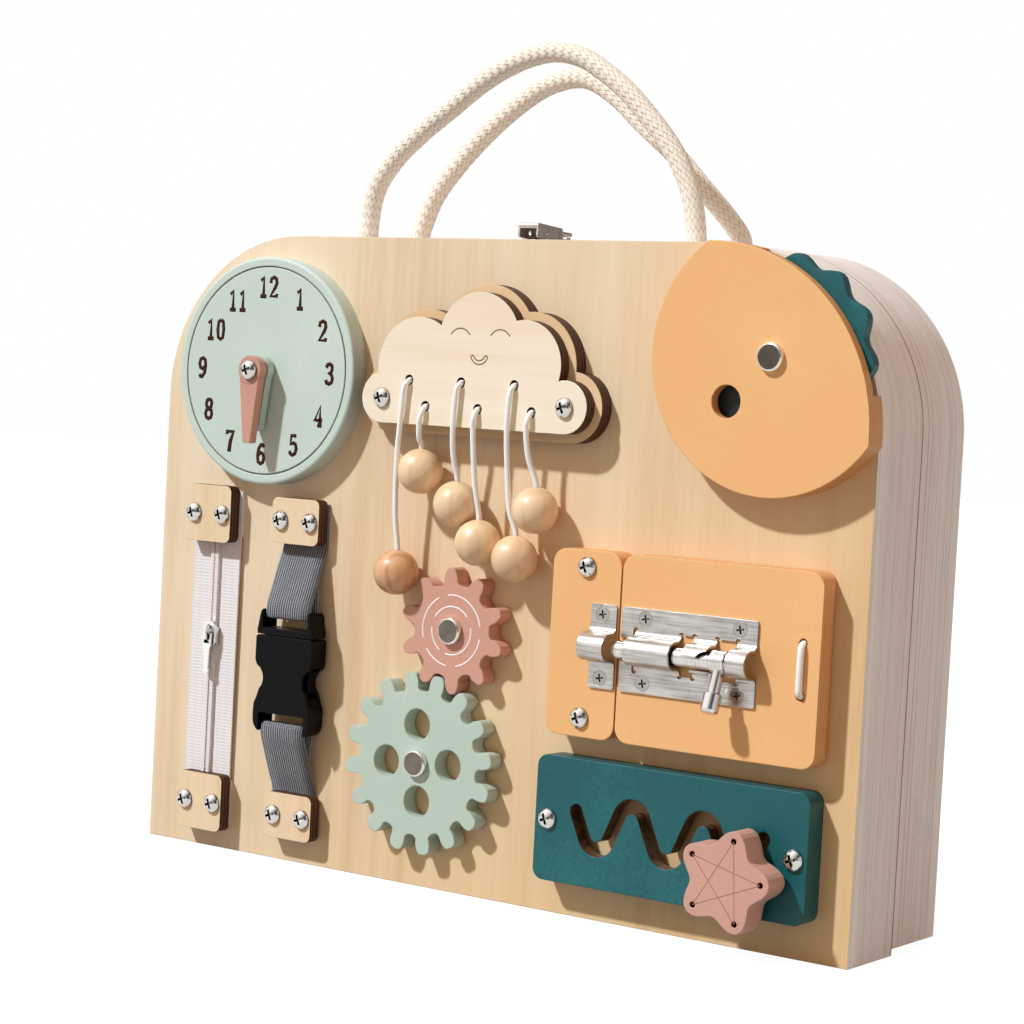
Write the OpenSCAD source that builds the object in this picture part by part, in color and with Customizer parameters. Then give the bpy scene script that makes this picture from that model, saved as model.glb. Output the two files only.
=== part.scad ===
// Wooden busy board: two hinged plywood shells with toys on the front face.
// +X right, +Y back, +Z up. The origin is the middle of the front shell's base.

/* [Case] */
// Width of the case
case_w = 300; // [296:1:320]
// Height of the case
case_h = 228; // [226:1:240]
// Depth of each of the two shells
shell_d = 30; // [26:1:40]
// Radius of the two top corners
corner_r = 60; // [50:1:64]
// Thickness of the frame walls
wall = 9; // [8:0.5:12]
// Thickness of the plywood faces
face_t = 5; // [4:0.5:6]
// Height of the rear shell's base above the front shell's base
rear_lift = 2.2; // [2:0.1:3]

/* [Hinges] */
// Distance of each hinge from the middle of the case
hinge_x = 80; // [50:1:110]
// Length of each hinge
hinge_len = 30; // [25:1:50]
// Thickness of the hinge leaves
leaf_t = 0.8; // [0.6:0.1:1]
// Height of the hinge leaves
leaf_h = 6.4; // [5.6:0.2:6.6]
// Radius of the hinge pins
hinge_pin_r = 0.5; // [0.4:0.05:0.55]

/* [Draw latch] */
// Width of the latch plates
latch_w = 9; // [8.6:0.2:11]
// Thickness of the latch plates
latch_t = 0.7; // [0.6:0.1:0.8]
// Length of the latch lever
lever_len = 15.4; // [14:0.1:16]
// Radius of the wire in the latch loop
loop_r = 0.7; // [0.6:0.05:0.75]
// Height of the catch's hook
hook_h = 3.5; // [3:0.1:3.6]

/* [Rope handles] */
// Distance between the two ends of each rope
rope_gap = 140; // [130:1:150]
// Diameter of the rope
rope_d = 7; // [5:0.5:8]
// Diameter of the knots inside the case
knot_d = 14; // [12:0.5:16]

/* [Clock] */
// Centre of the clock from the middle of the board
clock_x = -97; // [-100:0.5:-96]
// Height of the clock's centre
clock_z = 178.5; // [176:0.5:182]
// Radius of the clock dial
dial_r = 41.5; // [38:0.5:42]
// Thickness of the clock dial
dial_t = 7.5; // [5:0.5:9]
// Radius of the engraved ring on the dial
ring_r = 37.5; // [35:0.5:37.5]
// Length of the minute hand from its pivot
minute_len = 26.5; // [22:0.5:34]
// Length of the hour hand from its pivot
hour_len = 22; // [18:0.5:30]
// Thickness of each hand
hand_t = 3.3; // [2:0.1:4]
// Radius of the hands at the pivot
hand_hub_r = 5.2; // [4.6:0.1:7]
// Width of the hands at the tip
hand_tip_w = 3.6; // [2.5:0.1:5]
// Gap between the dial, the hands and each other
hand_gap = 0.9; // [0.5:0.1:1.5]

/* [Cloud] */
// Thickness of the cloud's back layer
cloud_back_t = 5.8; // [5:0.2:7]
// Thickness of the cloud's front layer
cloud_front_t = 4.8; // [3:0.2:6]
// How far the back layer stands out round the front layer
cloud_step = 3; // [2:0.5:3.5]
// Radius of the string holes
string_hole_r = 1.8; // [1.5:0.1:2.2]
// Diameter of the cloud's strings
string_d = 2; // [1.6:0.1:2.4]
// Diameter of the balls
ball_d = 15.9; // [14:0.1:15.9]
// Radius of the bore in each ball
ball_bore_r = 1.5; // [1.3:0.1:2.5]
// Distance of the balls' centres in front of the board
ball_y = 8.8; // [8.4:0.1:9.4]

/* [Picture wheel] */
// Centre of the wheel from the middle of the board
disc_x = 115.1; // [114:0.1:116]
// Height of the wheel's centre
disc_z = 191.3; // [190:0.1:193]
// Radius of the orange cover
cover_r = 44.7; // [42:0.1:46]
// Thickness of the orange cover
cover_t = 4; // [3:0.1:5]
// Thickness of the spacer behind the cover
spacer_t = 5.2; // [4.6:0.1:6]
// Overhang of the cover past the side of the case
cover_over = 1.2; // [0:0.1:2]
// Radius of the scalloped wheel at its tips
wheel_r = 33.7; // [32:0.1:34.5]
// Depth of the scallops
scallop_d = 3; // [2:0.1:4]
// Number of scallops
scallops = 13; // [11:1:16]
// Thickness of the scalloped wheel
wheel_t = 3.6; // [3:0.1:4]
// Radius of the window in the cover
window_r = 5.4; // [4:0.1:7]

/* [Gears] */
// Centre of the small gear from the middle of the board
gear_x = -6.8; // [-7.2:0.1:-6.4]
// Height of the small gear's centre
gear_z = 92.1; // [91.8:0.1:92.4]
// Distance between the two gear axles
gear_gap = 49.1; // [49:0.1:50]
// Direction from the large gear to the small one, in degrees
mesh_angle = 75.9; // [75:0.1:77]
// Teeth on the small gear
small_teeth = 10; // [10:1:10]
// Teeth on the large gear
large_teeth = 16; // [16:1:16]
// Height of the small gear's teeth above its pitch circle
small_add = 3.1; // [2.8:0.1:3.2]
// Height of the large gear's teeth above its pitch circle
large_add = 1.8; // [1.5:0.1:2]
// Depth of the small gear's teeth below its pitch circle
small_ded = 2.9; // [2.7:0.1:3.2]
// Depth of the large gear's teeth below its pitch circle
large_ded = 5; // [4.6:0.1:5.2]
// Play between the teeth
backlash = 0.9; // [0.7:0.1:1.2]
// Thickness of the gears
gear_t = 6.2; // [5:0.1:7]
// Gap between the gears and the board
gear_lift = 0.8; // [0.6:0.1:1]
// Radius of the four holes in the large gear
gear_hole_r = 5.6; // [4:0.1:6]
// Distance of the four holes from the large gear's centre
gear_hole_at = 13.5; // [13:0.1:15]

/* [Axle rivets] */
// Radius of the axles
axle_r = 3; // [2.5:0.1:3.2]
// Radius of the axle caps
cap_r = 4.7; // [4.2:0.1:5.5]
// Height of the axle caps
cap_t = 2; // [1.5:0.1:2.5]

/* [Door] */
// Left edge of the fixed block from the middle of the board
block_x = 36; // [35.8:0.1:37]
// Width of the fixed block
block_w = 27.2; // [26.5:0.1:27.4]
// Width of the door
door_w = 75; // [74.5:0.1:76]
// Gap between the block and the door
door_gap = 0.6; // [0.4:0.1:1]
// Lowest edge of the door
door_z = 62.3; // [62:0.1:63]
// Height of the door
door_h = 62.5; // [61:0.5:63]
// Thickness of the door
door_t = 9; // [8:0.1:9.4]
// Gap between the door and the board
door_lift = 0.4; // [0.3:0.1:0.6]
// Radius of the door's corners
door_r = 5; // [3:0.5:7]
// Diameter of the door's cord
door_cord_d = 2.2; // [1.8:0.1:2.4]
// Distance between the door's two cord holes
door_cord_gap = 16.8; // [14:0.1:20]
// Distance of the cord holes from the door's free edge
door_cord_in = 6.4; // [5.5:0.1:8]

/* [Barrel bolt] */
// Height of the bolt above the floor
bolt_z = 93.5; // [92.5:0.5:94.5]
// Distance of the bolt's axis in front of the door
bolt_out = 4.2; // [4.1:0.1:4.6]
// Radius of the bolt
bolt_r = 3; // [2.6:0.1:3.1]
// Length of the bolt
bolt_len = 47; // [45:0.5:48]
// Travel of the bolt
bolt_travel = 14.8; // [14.4:0.1:15]
// Inner radius of the barrels
barrel_r = 3.9; // [3.8:0.1:4]
// Thickness of the bolt's sheet metal
bolt_sheet = 0.8; // [0.6:0.1:0.8]
// Height of the bolt's plates
bolt_plate_h = 28; // [27:0.5:30]
// Width of the bolt's plate on the door
bolt_plate_w = 51.5; // [51:0.1:52]
// Width of the keeper on the block
keeper_w = 10; // [9.6:0.1:10.2]
// Length of the knob from the bolt's axis
knob_len = 17; // [14:0.5:18]
// Angle of the knob out from straight down
knob_tilt = 20; // [18:1:25]

/* [Wave plate] */
// Left edge of the wave plate
wave_x = 34; // [33.5:0.1:34.5]
// Lowest edge of the wave plate
wave_z = 12.6; // [12:0.1:14]
// Width of the wave plate
wave_w = 104.3; // [104:0.1:106]
// Height of the wave plate
wave_h = 42.4; // [41:0.1:43]
// Thickness of the wave plate
wave_t = 9; // [8.5:0.1:10]
// Width of the wavy slot
slot_w = 5; // [4.8:0.1:5.2]
// Distance from one trough of the slot to the next
slot_pitch = 27.3; // [27:0.1:27.5]
// Lowest point of the slot's centre line
slot_low = 25.7; // [25.5:0.1:26]
// Highest point of the slot's centre line
slot_high = 41.9; // [41.5:0.1:42]
// Radius of the slot's bends
slot_r = 5; // [4.8:0.1:5.1]
// Thickness of the star
star_t = 10; // [8:0.1:11]
// Radius of the star at its tips
star_tip = 16.9; // [16:0.1:19]
// Radius of the star at its hollows
star_hollow = 12; // [10:0.1:12.5]
// Radius of the star's screw
star_screw_r = 1.5; // [1.3:0.1:1.6]
// Travel of the star along the slot
star_travel = 14; // [10:0.5:14.5]

/* [Zip and strap] */
// Middle of the zip from the middle of the board
zip_x = -121; // [-121.5:0.1:-120.5]
// Width of the zip's tape
zip_w = 22.4; // [21:0.1:23]
// Height of the zip's slider above the floor
slider_z = 80; // [70:1:90]
// Middle of the strap from the middle of the board
strap_x = -79; // [-79.5:0.1:-78.5]
// Width of the strap's webbing
strap_w = 20; // [19:0.1:20.4]
// Thickness of the strap's webbing
strap_t = 1.2; // [1:0.1:1.4]
// Thickness of the wooden clamp blocks
clamp_t = 5; // [4:0.1:6]
// Distance between a clamp block's two screws
clamp_pitch = 13.6; // [13:0.1:14.4]
// Width of the buckle
buckle_w = 26.4; // [25.6:0.1:28]
// Thickness of the buckle
buckle_t = 8; // [7.6:0.1:9]
// Distance of the buckle's back from the board
buckle_lift = 2.5; // [2.2:0.1:3]
// Travel of the buckle's upper half when it is released
buckle_travel = 22; // [20:0.5:22.5]

/* [Screws] */
// Radius of the round screw heads
screw_head_r = 3.5; // [3:0.1:4]
// Height of the round screw heads
screw_head_h = 2.2; // [1.6:0.1:2.6]
// Radius of the screws' shanks
screw_r = 1.6; // [1.4:0.1:1.8]
// Radius of the flat screw heads
flat_head_r = 2.6; // [2.2:0.1:2.8]

/* [Hidden] */

$fn = 96;
eps = 0.01;
fit = 0.04;          // radial play of a turning fit
seat = 0.05;         // radial play of a screw in its hole
face_y = -shell_d / 2;
seam_y = shell_d / 2;
back_y = seam_y + shell_d;

maple = [0.93, 0.82, 0.66];
whitewash = [0.86, 0.82, 0.78];
birch = [0.95, 0.87, 0.73];
mint = [0.80, 0.86, 0.81];
pink = [0.87, 0.64, 0.56];
orange = [0.98, 0.74, 0.48];
teal = [0.10, 0.36, 0.36];
steel = [0.75, 0.75, 0.76];
webbing = [0.33, 0.33, 0.35];
black = [0.06, 0.06, 0.07];
cotton = [0.92, 0.90, 0.86];

// --- helpers -------------------------------------------------------------

// Extrudes a flat shape, drawn in X and Z, to stand from h0 to h0 + t in front of the face.
module raised(h0, t) {
    translate([0, face_y - h0, 0]) rotate([90, 0, 0]) linear_extrude(t) children();
}

// Extrudes a flat shape, drawn in X and Z, from one depth to another.
module slab(y0, y1) {
    translate([0, y1, 0]) rotate([90, 0, 0]) linear_extrude(y1 - y0) children();
}

// A round pin or bore that stands out of the face at [x, z], from h0 to h1.
module peg(at, r, h0, h1) {
    raised(h0, h1 - h0) translate(at) circle(r);
}

// Extrudes a flat shape, drawn in Y and Z, along X.
module along_x(x0, x1) {
    translate([x0, 0, 0]) rotate([90, 0, 90]) linear_extrude(x1 - x0) children();
}

// A rectangle with round corners, from its lowest left corner.
module rounded(size, r) {
    translate([r, 0]) square([size[0] - 2 * r, size[1]]);
    translate([0, r]) square([size[0], size[1] - 2 * r]);
    for (x = [r, size[0] - r], y = [r, size[1] - r]) translate([x, y]) circle(r);
}

// A solid of revolution about an axis that stands out of the face at [x, z, h].
module turned(at) {
    translate([at[0], face_y - at[2], at[1]]) rotate([90, 0, 0]) rotate_extrude() children();
}

// A tube swept along a list of points; ref is a direction that the path never takes.
module tube(path, r, sides, ref) {
    n = len(path);
    dir = [for (i = [0:n - 1]) let (d = path[min(i + 1, n - 1)] - path[max(i - 1, 0)]) d / norm(d)];
    ring = [for (i = [0:n - 1]) let (a = cross(dir[i], ref), u = a / norm(a), v = cross(dir[i], u))
        [for (k = [0:sides - 1]) path[i] + r * (cos(360 * k / sides) * u + sin(360 * k / sides) * v)]];
    polyhedron([for (q = ring) each q], [
        [for (k = [0:sides - 1]) k],
        [for (k = [sides - 1:-1:0]) (n - 1) * sides + k],
        for (i = [0:n - 2], k = [0:sides - 1]) let (a = i * sides + k, b = i * sides + (k + 1) % sides)
            [a, a + sides, b + sides, b]]);
}

// --- case ----------------------------------------------------------------

// Outline of the case, drawn in by inset, with its base at z = low.
module case_outline(inset, low) {
    half = case_w / 2;
    translate([-half + inset, low + inset]) square([case_w - 2 * inset, case_h - corner_r - low - inset]);
    translate([corner_r - half, low + inset]) square([case_w - 2 * corner_r, case_h - low - 2 * inset]);
    for (s = [-1, 1]) translate([s * (half - corner_r), case_h - corner_r]) circle(corner_r - inset);
}

module front_panel() {
    color(maple) difference() {
        slab(face_y, face_y + face_t) case_outline(0, 0);
        face_holes(-face_t - 1, 1);
        for (s = [-1, 1]) peg([door_cord_x, door_mid + s * door_cord_gap / 2], door_cord_hole_r,
            -face_t - 1, 1);
        for (at = axle_spots) peg(at, axle_r + seat, -face_t - 1, 1);
        peg([clock_x, clock_z], screw_r + seat, -face_t - 1, 1);
    }
}

// The wall of one shell, between two depths, with its base at z = low.
module frame(y0, y1, low) {
    difference() {
        slab(y0, y1) case_outline(0, low);
        slab(y0 - 1, y1 + 1) case_outline(wall, low);
    }
}

// The two holes for a rope in the top wall.
module rope_holes(y) {
    for (s = [-1, 1]) translate([s * rope_gap / 2, y, case_h - wall - 1]) cylinder(wall + 2,
        r = rope_d / 2 + 0.4);
}

module front_frame() {
    color(whitewash) difference() {
        frame(face_y + face_t, seam_y, 0);
        rope_holes(rope_front_y);
        hinge_mortises(-1);
        turned_about() translate([0, base_y, case_h - screw_depth]) latch_screw_bores(base_screws);
    }
}

module rear_frame() {
    color(whitewash) difference() {
        frame(seam_y, back_y - face_t, rear_lift);
        rope_holes(rope_rear_y);
        hinge_mortises(1);
        turned_about() translate([0, catch_y, case_h - screw_depth]) latch_screw_bores(catch_screws);
    }
}

module rear_panel() {
    color(maple) slab(back_y - face_t, back_y) case_outline(0, rear_lift);
}

// --- hinges --------------------------------------------------------------

knuckle_r = rear_lift / 2 - 0.1;
knuckle_play = 0.2;
knuckles = 5;
knuckle_len = (hinge_len - (knuckles - 1) * knuckle_play) / knuckles;
leaf_top = rear_lift + leaf_h;
hinge_screw_z = rear_lift + leaf_h / 2;
hinge_screw_at = hinge_len / 4;
hinge_screw_r = 1;
hinge_screw_len = 9;

// Seats for the leaves in one shell's seam face, and room for the knuckles.
module hinge_mortises(side) {
    for (s = [-1, 1]) translate([s * hinge_x, seam_y, 0]) {
        translate([-hinge_len / 2 - seat, side > 0 ? -eps : -leaf_t, -1])
            cube([hinge_len + 2 * seat, leaf_t + eps, leaf_top + 1]);
        translate([-hinge_len / 2 - 0.3, -knuckle_r - 0.3, -1])
            cube([hinge_len + 0.6, 2 * knuckle_r + 0.6, rear_lift + 1 + (side > 0 ? 0 : 0.2)]);
        for (k = [-1, 1]) translate([k * hinge_screw_at, 0, hinge_screw_z]) rotate([-side * 90, 0, 0])
            translate([0, 0, -eps]) cylinder(hinge_screw_len + 1, r = hinge_screw_r + seat);
    }
}

// One leaf with its own knuckles: the odd ones for the front, the even ones for the rear.
module hinge_leaf(side, first, bore) {
    for (s = [-1, 1]) translate([s * hinge_x, seam_y, 0]) difference() {
        union() {
            for (k = [first:2:knuckles - 1]) translate([k * (knuckle_len + knuckle_play) - hinge_len / 2,
                0, knuckle_r])
                rotate([0, 90, 0]) cylinder(knuckle_len, r = knuckle_r);
            for (k = [first:2:knuckles - 1])
                translate([k * (knuckle_len + knuckle_play) - hinge_len / 2, side > 0 ? 0 : -leaf_t,
                    knuckle_r])
                cube([knuckle_len, leaf_t, rear_lift - knuckle_r + 0.4]);
            translate([-hinge_len / 2, side > 0 ? 0 : -leaf_t, rear_lift + 0.2]) cube([hinge_len, leaf_t,
                leaf_h - 0.2]);
        }
        translate([-hinge_len, 0, knuckle_r]) rotate([0, 90, 0]) cylinder(2 * hinge_len, r = bore);
        for (k = [-1, 1]) translate([k * hinge_screw_at, -side * eps, hinge_screw_z]) rotate([-side * 90,
            0, 0])
            cylinder(leaf_t + 2 * eps, r1 = 2 * hinge_screw_r + fit, r2 = hinge_screw_r + seat);
    }
}

module hinge_leaves_front() { color(steel) hinge_leaf(-1, 0, hinge_pin_r); }

module hinge_leaves_rear() { color(steel) hinge_leaf(1, 1, hinge_pin_r + fit); }

module hinge_pins() {
    color(steel) for (s = [-1, 1]) translate([s * hinge_x - hinge_len / 2, seam_y, knuckle_r])
        rotate([0, 90, 0]) cylinder(hinge_len, r = hinge_pin_r);
}

// The countersunk screws of both hinges in one shell.
module hinge_screws(side) {
    for (s = [-1, 1], k = [-1, 1]) translate([s * hinge_x + k * hinge_screw_at, seam_y, hinge_screw_z])
        rotate([-side * 90, 0, 0]) {
            cylinder(leaf_t, r1 = 2 * hinge_screw_r, r2 = hinge_screw_r);
            translate([0, 0, leaf_t - eps]) cylinder(hinge_screw_len - leaf_t, r = hinge_screw_r);
        }
}

// --- draw latch ------------------------------------------------------------

// The latch is drawn with its catch in front and turned about: the lever is on the front shell.
catch_y = seam_y - 6;
base_y = seam_y + 7;
catch_len = 10;
base_len = 12;
screw_depth = 7;
latch_screw_r = 0.8;
latch_head_r = 1.4;
// Places of each plate's two screws, back from the plate's middle.
catch_screws = [-0.2, 2.6];
base_screws = [-0.6, 3.1];
lever_y = seam_y + 0.2;
lever_z = case_h + 2.9;
lever_r = 0.6;
lever_half = latch_w / 2 - 0.3;
ear_x = lever_half - latch_t - 0.2;
loop_half = ear_x - latch_t - 0.2 - loop_r;
loop_y = lever_y - 1;
loop_z = lever_z + 1.9;
hook_top = case_h + hook_h;
bar_y = catch_y - 4;
loop_bar_z = hook_top + 0.3 + loop_r;

// Turns the latch about, so that its catch comes to the rear.
module turned_about() {
    translate([0, 2 * seam_y, 0]) rotate(180) children();
}

module latch_screw_bores(spots) {
    for (y = spots) translate([0, y, 0]) cylinder(screw_depth + eps, r = latch_screw_r + seat);
}

// The two screws that hold a latch plate down.
module latch_screws(y0, spots) {
    for (y = spots) translate([0, y0 + y, case_h - screw_depth + 0.5]) {
        cylinder(screw_depth - 0.5 + latch_t, r = latch_screw_r);
        translate([0, 0, screw_depth - 0.5 + latch_t]) cylinder(0.6, r1 = latch_head_r, r2 = 1);
    }
}

// A latch plate with round corners and its two screw holes.
module latch_plate(y0, len, spots) {
    translate([0, y0, case_h]) difference() {
        translate([-latch_w / 2, -len / 2, 0]) linear_extrude(latch_t) rounded([latch_w, len], 1.5);
        for (y = spots) translate([0, y, -1]) cylinder(latch_t + 2, r = latch_screw_r + seat);
    }
}

// The catch: a plate with a hook that is bent up and away from the lever.
module latch_catch() {
    color(steel) turned_about() {
        latch_plate(catch_y, catch_len, catch_screws);
        along_x(-loop_half + 0.2, loop_half - 0.2) polygon([[bar_y + 1.8, case_h + latch_t - eps],
            [bar_y + 1.8, hook_top - 0.5], [bar_y + 1.3, hook_top], [bar_y - 0.5, hook_top],
            [bar_y - 1, hook_top - 0.5], [bar_y - 1, hook_top - 1.3], [bar_y - 0.3, hook_top - 1.3],
            [bar_y - 0.3, hook_top - latch_t], [bar_y + 1.1, hook_top - latch_t],
            [bar_y + 1.1, case_h + latch_t - eps]]);
    }
}

// The base: a plate with a rolled end and two ears that carry the lever's pivot pin.
module latch_base() {
    color(steel) turned_about() {
        latch_plate(base_y, base_len, base_screws);
        translate([1.5 - latch_w / 2, base_y + base_len / 2 - 0.6, case_h + 0.7]) rotate([0, 90, 0])
            cylinder(latch_w - 3, r = 0.6);
        for (s = [-1, 1]) along_x(s > 0 ? ear_x - latch_t : -ear_x, s > 0 ? ear_x : latch_t - ear_x) {
            translate([lever_y, lever_z]) circle(1.3);
            polygon([[base_y - base_len / 2, case_h + latch_t - eps], [lever_y + 4,
                case_h + latch_t - eps],
                [lever_y + 1.2, lever_z], [lever_y - 0.8, lever_z - 0.9]]);
        }
        translate([-lever_half, lever_y, lever_z]) rotate([0, 90, 0]) cylinder(2 * lever_half,
            r = lever_r);
    }
}

// The lever: a channel folded from sheet that rises to a rolled lip at its open, free end.
module latch_lever() {
    y0 = lever_y - 2;
    y1 = y0 + lever_len;
    top = lever_z + 3.2;
    low = lever_z - 1.1;
    end = case_h + 6.9;
    lip = 0.9;
    half = lever_half - latch_t;
    color(steel) turned_about() difference() {
        union() {
            along_x(-lever_half, lever_half) polygon([[y0 + 0.6, low], [y0, low + 0.6], [y0, top - 0.6],
                [y0 + 0.6, top], [y1 - lip, end], [y1 - 0.3, end - 1.2], [y1, low + 0.8], [y1 - 0.8, low],
                [lever_y + 8, low - 0.2], [lever_y + 1.4, low]]);
            translate([-lever_half, y1 - lip, end - lip]) rotate([0, 90, 0])
                cylinder(2 * lever_half, r = lip);
        }
        // The channel is open below and at its free end, under the lip.
        along_x(-half, half) polygon([[y0 - 1, low - 3], [y0 - 1, top - latch_t], [y0 + 2, top - latch_t],
            [y1 - 2 * lip, end - latch_t - 0.2], [y1 - 2 * lip, end - 2 * lip], [y1 + 1, end - 2 * lip],
            [y1 + 1, low - 3]]);
        // The sheet is slotted over the loop's arms.
        translate([-half, y0 - 1, top - latch_t - 1]) cube([2 * half, loop_y + 1.6 - y0 + 1, 3]);
        translate([-latch_w, lever_y, lever_z]) rotate([0, 90, 0]) cylinder(2 * latch_w,
            r = lever_r + fit);
        translate([-latch_w, loop_y, loop_z]) rotate([0, 90, 0]) cylinder(2 * latch_w, r = loop_r + fit);
        // A small round hole in each cheek.
        translate([-latch_w, lever_y + 7, lever_z + 0.8]) rotate([0, 90, 0]) cylinder(2 * latch_w, r = 0.8);
    }
}

// The loop: a wire frame that swings in the lever's cheeks and reaches over the catch.
module latch_loop() {
    run = norm([loop_y - bar_y, loop_z - loop_bar_z]);
    arm_x = loop_half - 0.1;
    color(steel) turned_about() {
        translate([-lever_half, loop_y, loop_z]) rotate([0, 90, 0]) cylinder(2 * lever_half, r = loop_r);
        for (s = [-1, 1]) translate([s * arm_x, loop_y, loop_z])
            rotate([90 + atan2(loop_z - loop_bar_z, loop_y - bar_y), 0, 0]) cylinder(run, r = loop_r - 0.08);
        translate([-loop_half - 0.5, bar_y, loop_bar_z]) rotate([0, 90, 0])
            cylinder(2 * loop_half + 1, r = loop_r);
    }
}

module shell_screws_front() {
    color(steel) {
        hinge_screws(-1);
        turned_about() latch_screws(base_y, base_screws);
    }
}

module shell_screws_rear() {
    color(steel) {
        hinge_screws(1);
        turned_about() latch_screws(catch_y, catch_screws);
    }
}

// --- rope handles ----------------------------------------------------------

rope_front_y = 0;
rope_rear_y = seam_y + shell_d / 2;
// Routes in X and Z above the top wall, for ropes whose ends are rope_gap apart.
front_route = [[-1, 0], [-0.965, 17], [-0.845, 29], [-0.67, 39], [-0.5, 47], [-0.33, 55], [-0.16, 61],
    [0, 64.5],
    [0.15, 65.5], [0.3, 63], [0.43, 58], [0.56, 51.5], [0.69, 43], [0.81, 34], [0.9, 25], [0.965, 14.5],
        [1, 0]];
rear_route = [[-1, 0], [-0.91, 17], [-0.765, 29.5], [-0.59, 41], [-0.42, 50], [-0.25, 57], [-0.11, 60],
    [0, 60.5],
    [0.1, 58.5], [0.24, 52.5], [0.385, 44], [0.585, 33], [0.75, 22], [0.9, 12], [0.985, 5], [1, 0]];

// A rope along a route, through the wall, with a knot at each end inside the case.
module rope(route, y) {
    top = [for (p = route) [p[0] * rope_gap / 2, y, case_h + p[1]]];
    knot_z = case_h - wall - sqrt(pow(knot_d / 2, 2) - pow(rope_d / 2 + 0.4, 2)) - 0.1;
    end_z = knot_z - knot_d / 2;
    path = concat([[-rope_gap / 2, y, end_z]], top, [[rope_gap / 2, y, end_z]]);
    color(cotton) {
        tube(path, rope_d / 2, 10, [0, 1, 0]);
        for (s = [-1, 1]) translate([s * rope_gap / 2, y, knot_z]) sphere(knot_d / 2);
    }
}

module rope_front() { rope(front_route, rope_front_y); }

module rope_rear() { rope(rear_route, rope_rear_y); }

// --- clock -----------------------------------------------------------------

hour_h = dial_t + hand_gap;
minute_h = hour_h + hand_t + hand_gap;
clock_head_h = minute_h + hand_t + 0.3;

module clock_dial() {
    color(mint) difference() {
        turned([clock_x, clock_z, 0]) polygon([[0, 0], [dial_r, 0], [dial_r, dial_t - 1], [dial_r - 0.3,
            dial_t - 0.3],
            [dial_r - 1, dial_t], [0, dial_t]]);
        turned([clock_x, clock_z, dial_t]) translate([ring_r, -0.3]) square([0.6, 0.6]);
        peg([clock_x, clock_z], screw_r + seat, -1, dial_t + 1);
    }
}

// A tapered hand that points down from the clock's centre.
module hand(length, h0) {
    raised(h0, hand_t) translate([clock_x, clock_z]) difference() {
        union() {
            circle(hand_hub_r);
            polygon([[-hand_hub_r + 0.4, 0], [hand_hub_r - 0.4, 0], [hand_tip_w / 2, 0.6 - length],
                [hand_tip_w / 2 - 0.6, -length], [0.6 - hand_tip_w / 2, -length], [-hand_tip_w / 2,
                    0.6 - length]]);
        }
        circle(screw_r + fit);
    }
}

module hour_hand() { color(mint) hand(hour_len, hour_h); }

module minute_hand() { color(pink) hand(minute_len, minute_h); }

// The clock's screw, with a washer under each hand.
module clock_axle() {
    color(steel) {
        pan_screw([clock_x, clock_z], clock_head_h, face_t - 0.5);
        for (h = [dial_t, dial_t + hand_gap + hand_t]) raised(h + 0.05, hand_gap - 0.1)
            translate([clock_x, clock_z])
            circle(3);
    }
}

// --- screws ----------------------------------------------------------------

cross_w = 0.9;

// A round-headed screw: the head seats at height h and the shank goes depth into the face.
module pan_screw(at, h, depth) {
    difference() {
        turned([at[0], at[1], h]) polygon([[0, 0], [screw_head_r, 0], [screw_head_r, 0.5],
            [0.93 * screw_head_r,
            0.45 * screw_head_h], [0.75 * screw_head_r, 0.75 * screw_head_h], [0.45 * screw_head_r,
                0.95 * screw_head_h],
            [0, screw_head_h]]);
        for (a = [20, 110]) raised(h + 0.45 * screw_head_h, screw_head_h) translate(at) rotate(a)
            square([0.55 * screw_head_r * 2, cross_w], center = true);
    }
    peg(at, screw_r, -depth, h + eps);
}

// A countersunk screw whose head is flush at height h.
module flat_screw(at, h, depth) {
    difference() {
        turned([at[0], at[1], h]) polygon([[0, -1.6], [1.2, -1.6], [flat_head_r, -0.3], [flat_head_r, 0],
            [0, 0]]);
        for (a = [10, 100]) raised(h - 0.6, 1) translate(at) rotate(a) square([2.8, 0.6], center = true);
    }
    peg(at, 1.2, h - depth, h - 1.5);
}

// The bore and countersink for a flat screw, deep enough for its shank.
module flat_bore(at, h, depth) {
    peg(at, 1.2 + seat, h - depth - 0.5, h + 1);
    turned([at[0], at[1], h]) polygon([[0, -1.7], [1.2 + seat, -1.65], [flat_head_r + seat, -0.3 - seat],
        [flat_head_r + seat, 1], [0, 1]]);
}

// Bores for the round-headed screws, from h0 to h1.
module face_holes(h0, h1) {
    for (p = face_screws) peg([p[0], p[1]], screw_r + seat, h0, h1);
}

module board_screws() { color(steel) for (p = face_screws) pan_screw([p[0], p[1]], p[2], face_t - 0.5); }

// --- cloud with strings and balls --------------------------------------------

cloud_h = cloud_back_t + cloud_front_t;
lobe_left = [-39.7, 171.4, 8.8];
lobe_right = [37.8, 171.6, 9];
// Round bumps of the cloud: x, z and radius.
bumps = [lobe_left, [-24.5, 182.5, 17.5], [1.2, 192, 17.2], [20.2, 184.8, 15.4], lobe_right];
hole_pitch = 22.45;
upper_holes = [for (i = [0:2]) [-28 + i * hole_pitch, 178]];
lower_holes = [for (i = [0:2]) [-20.4 + i * hole_pitch, 169.2]];

module cloud_outline(grow) {
    base = lobe_left[1] - lobe_left[2] - grow;
    for (b = bumps) translate([b[0], b[1]]) circle(b[2] + grow);
    translate([lobe_left[0], base]) square([lobe_right[0] - lobe_left[0], 2 * lobe_left[2] - 1 + grow]);
    translate([-18, base + 6]) square([34, 22]);
}

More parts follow.
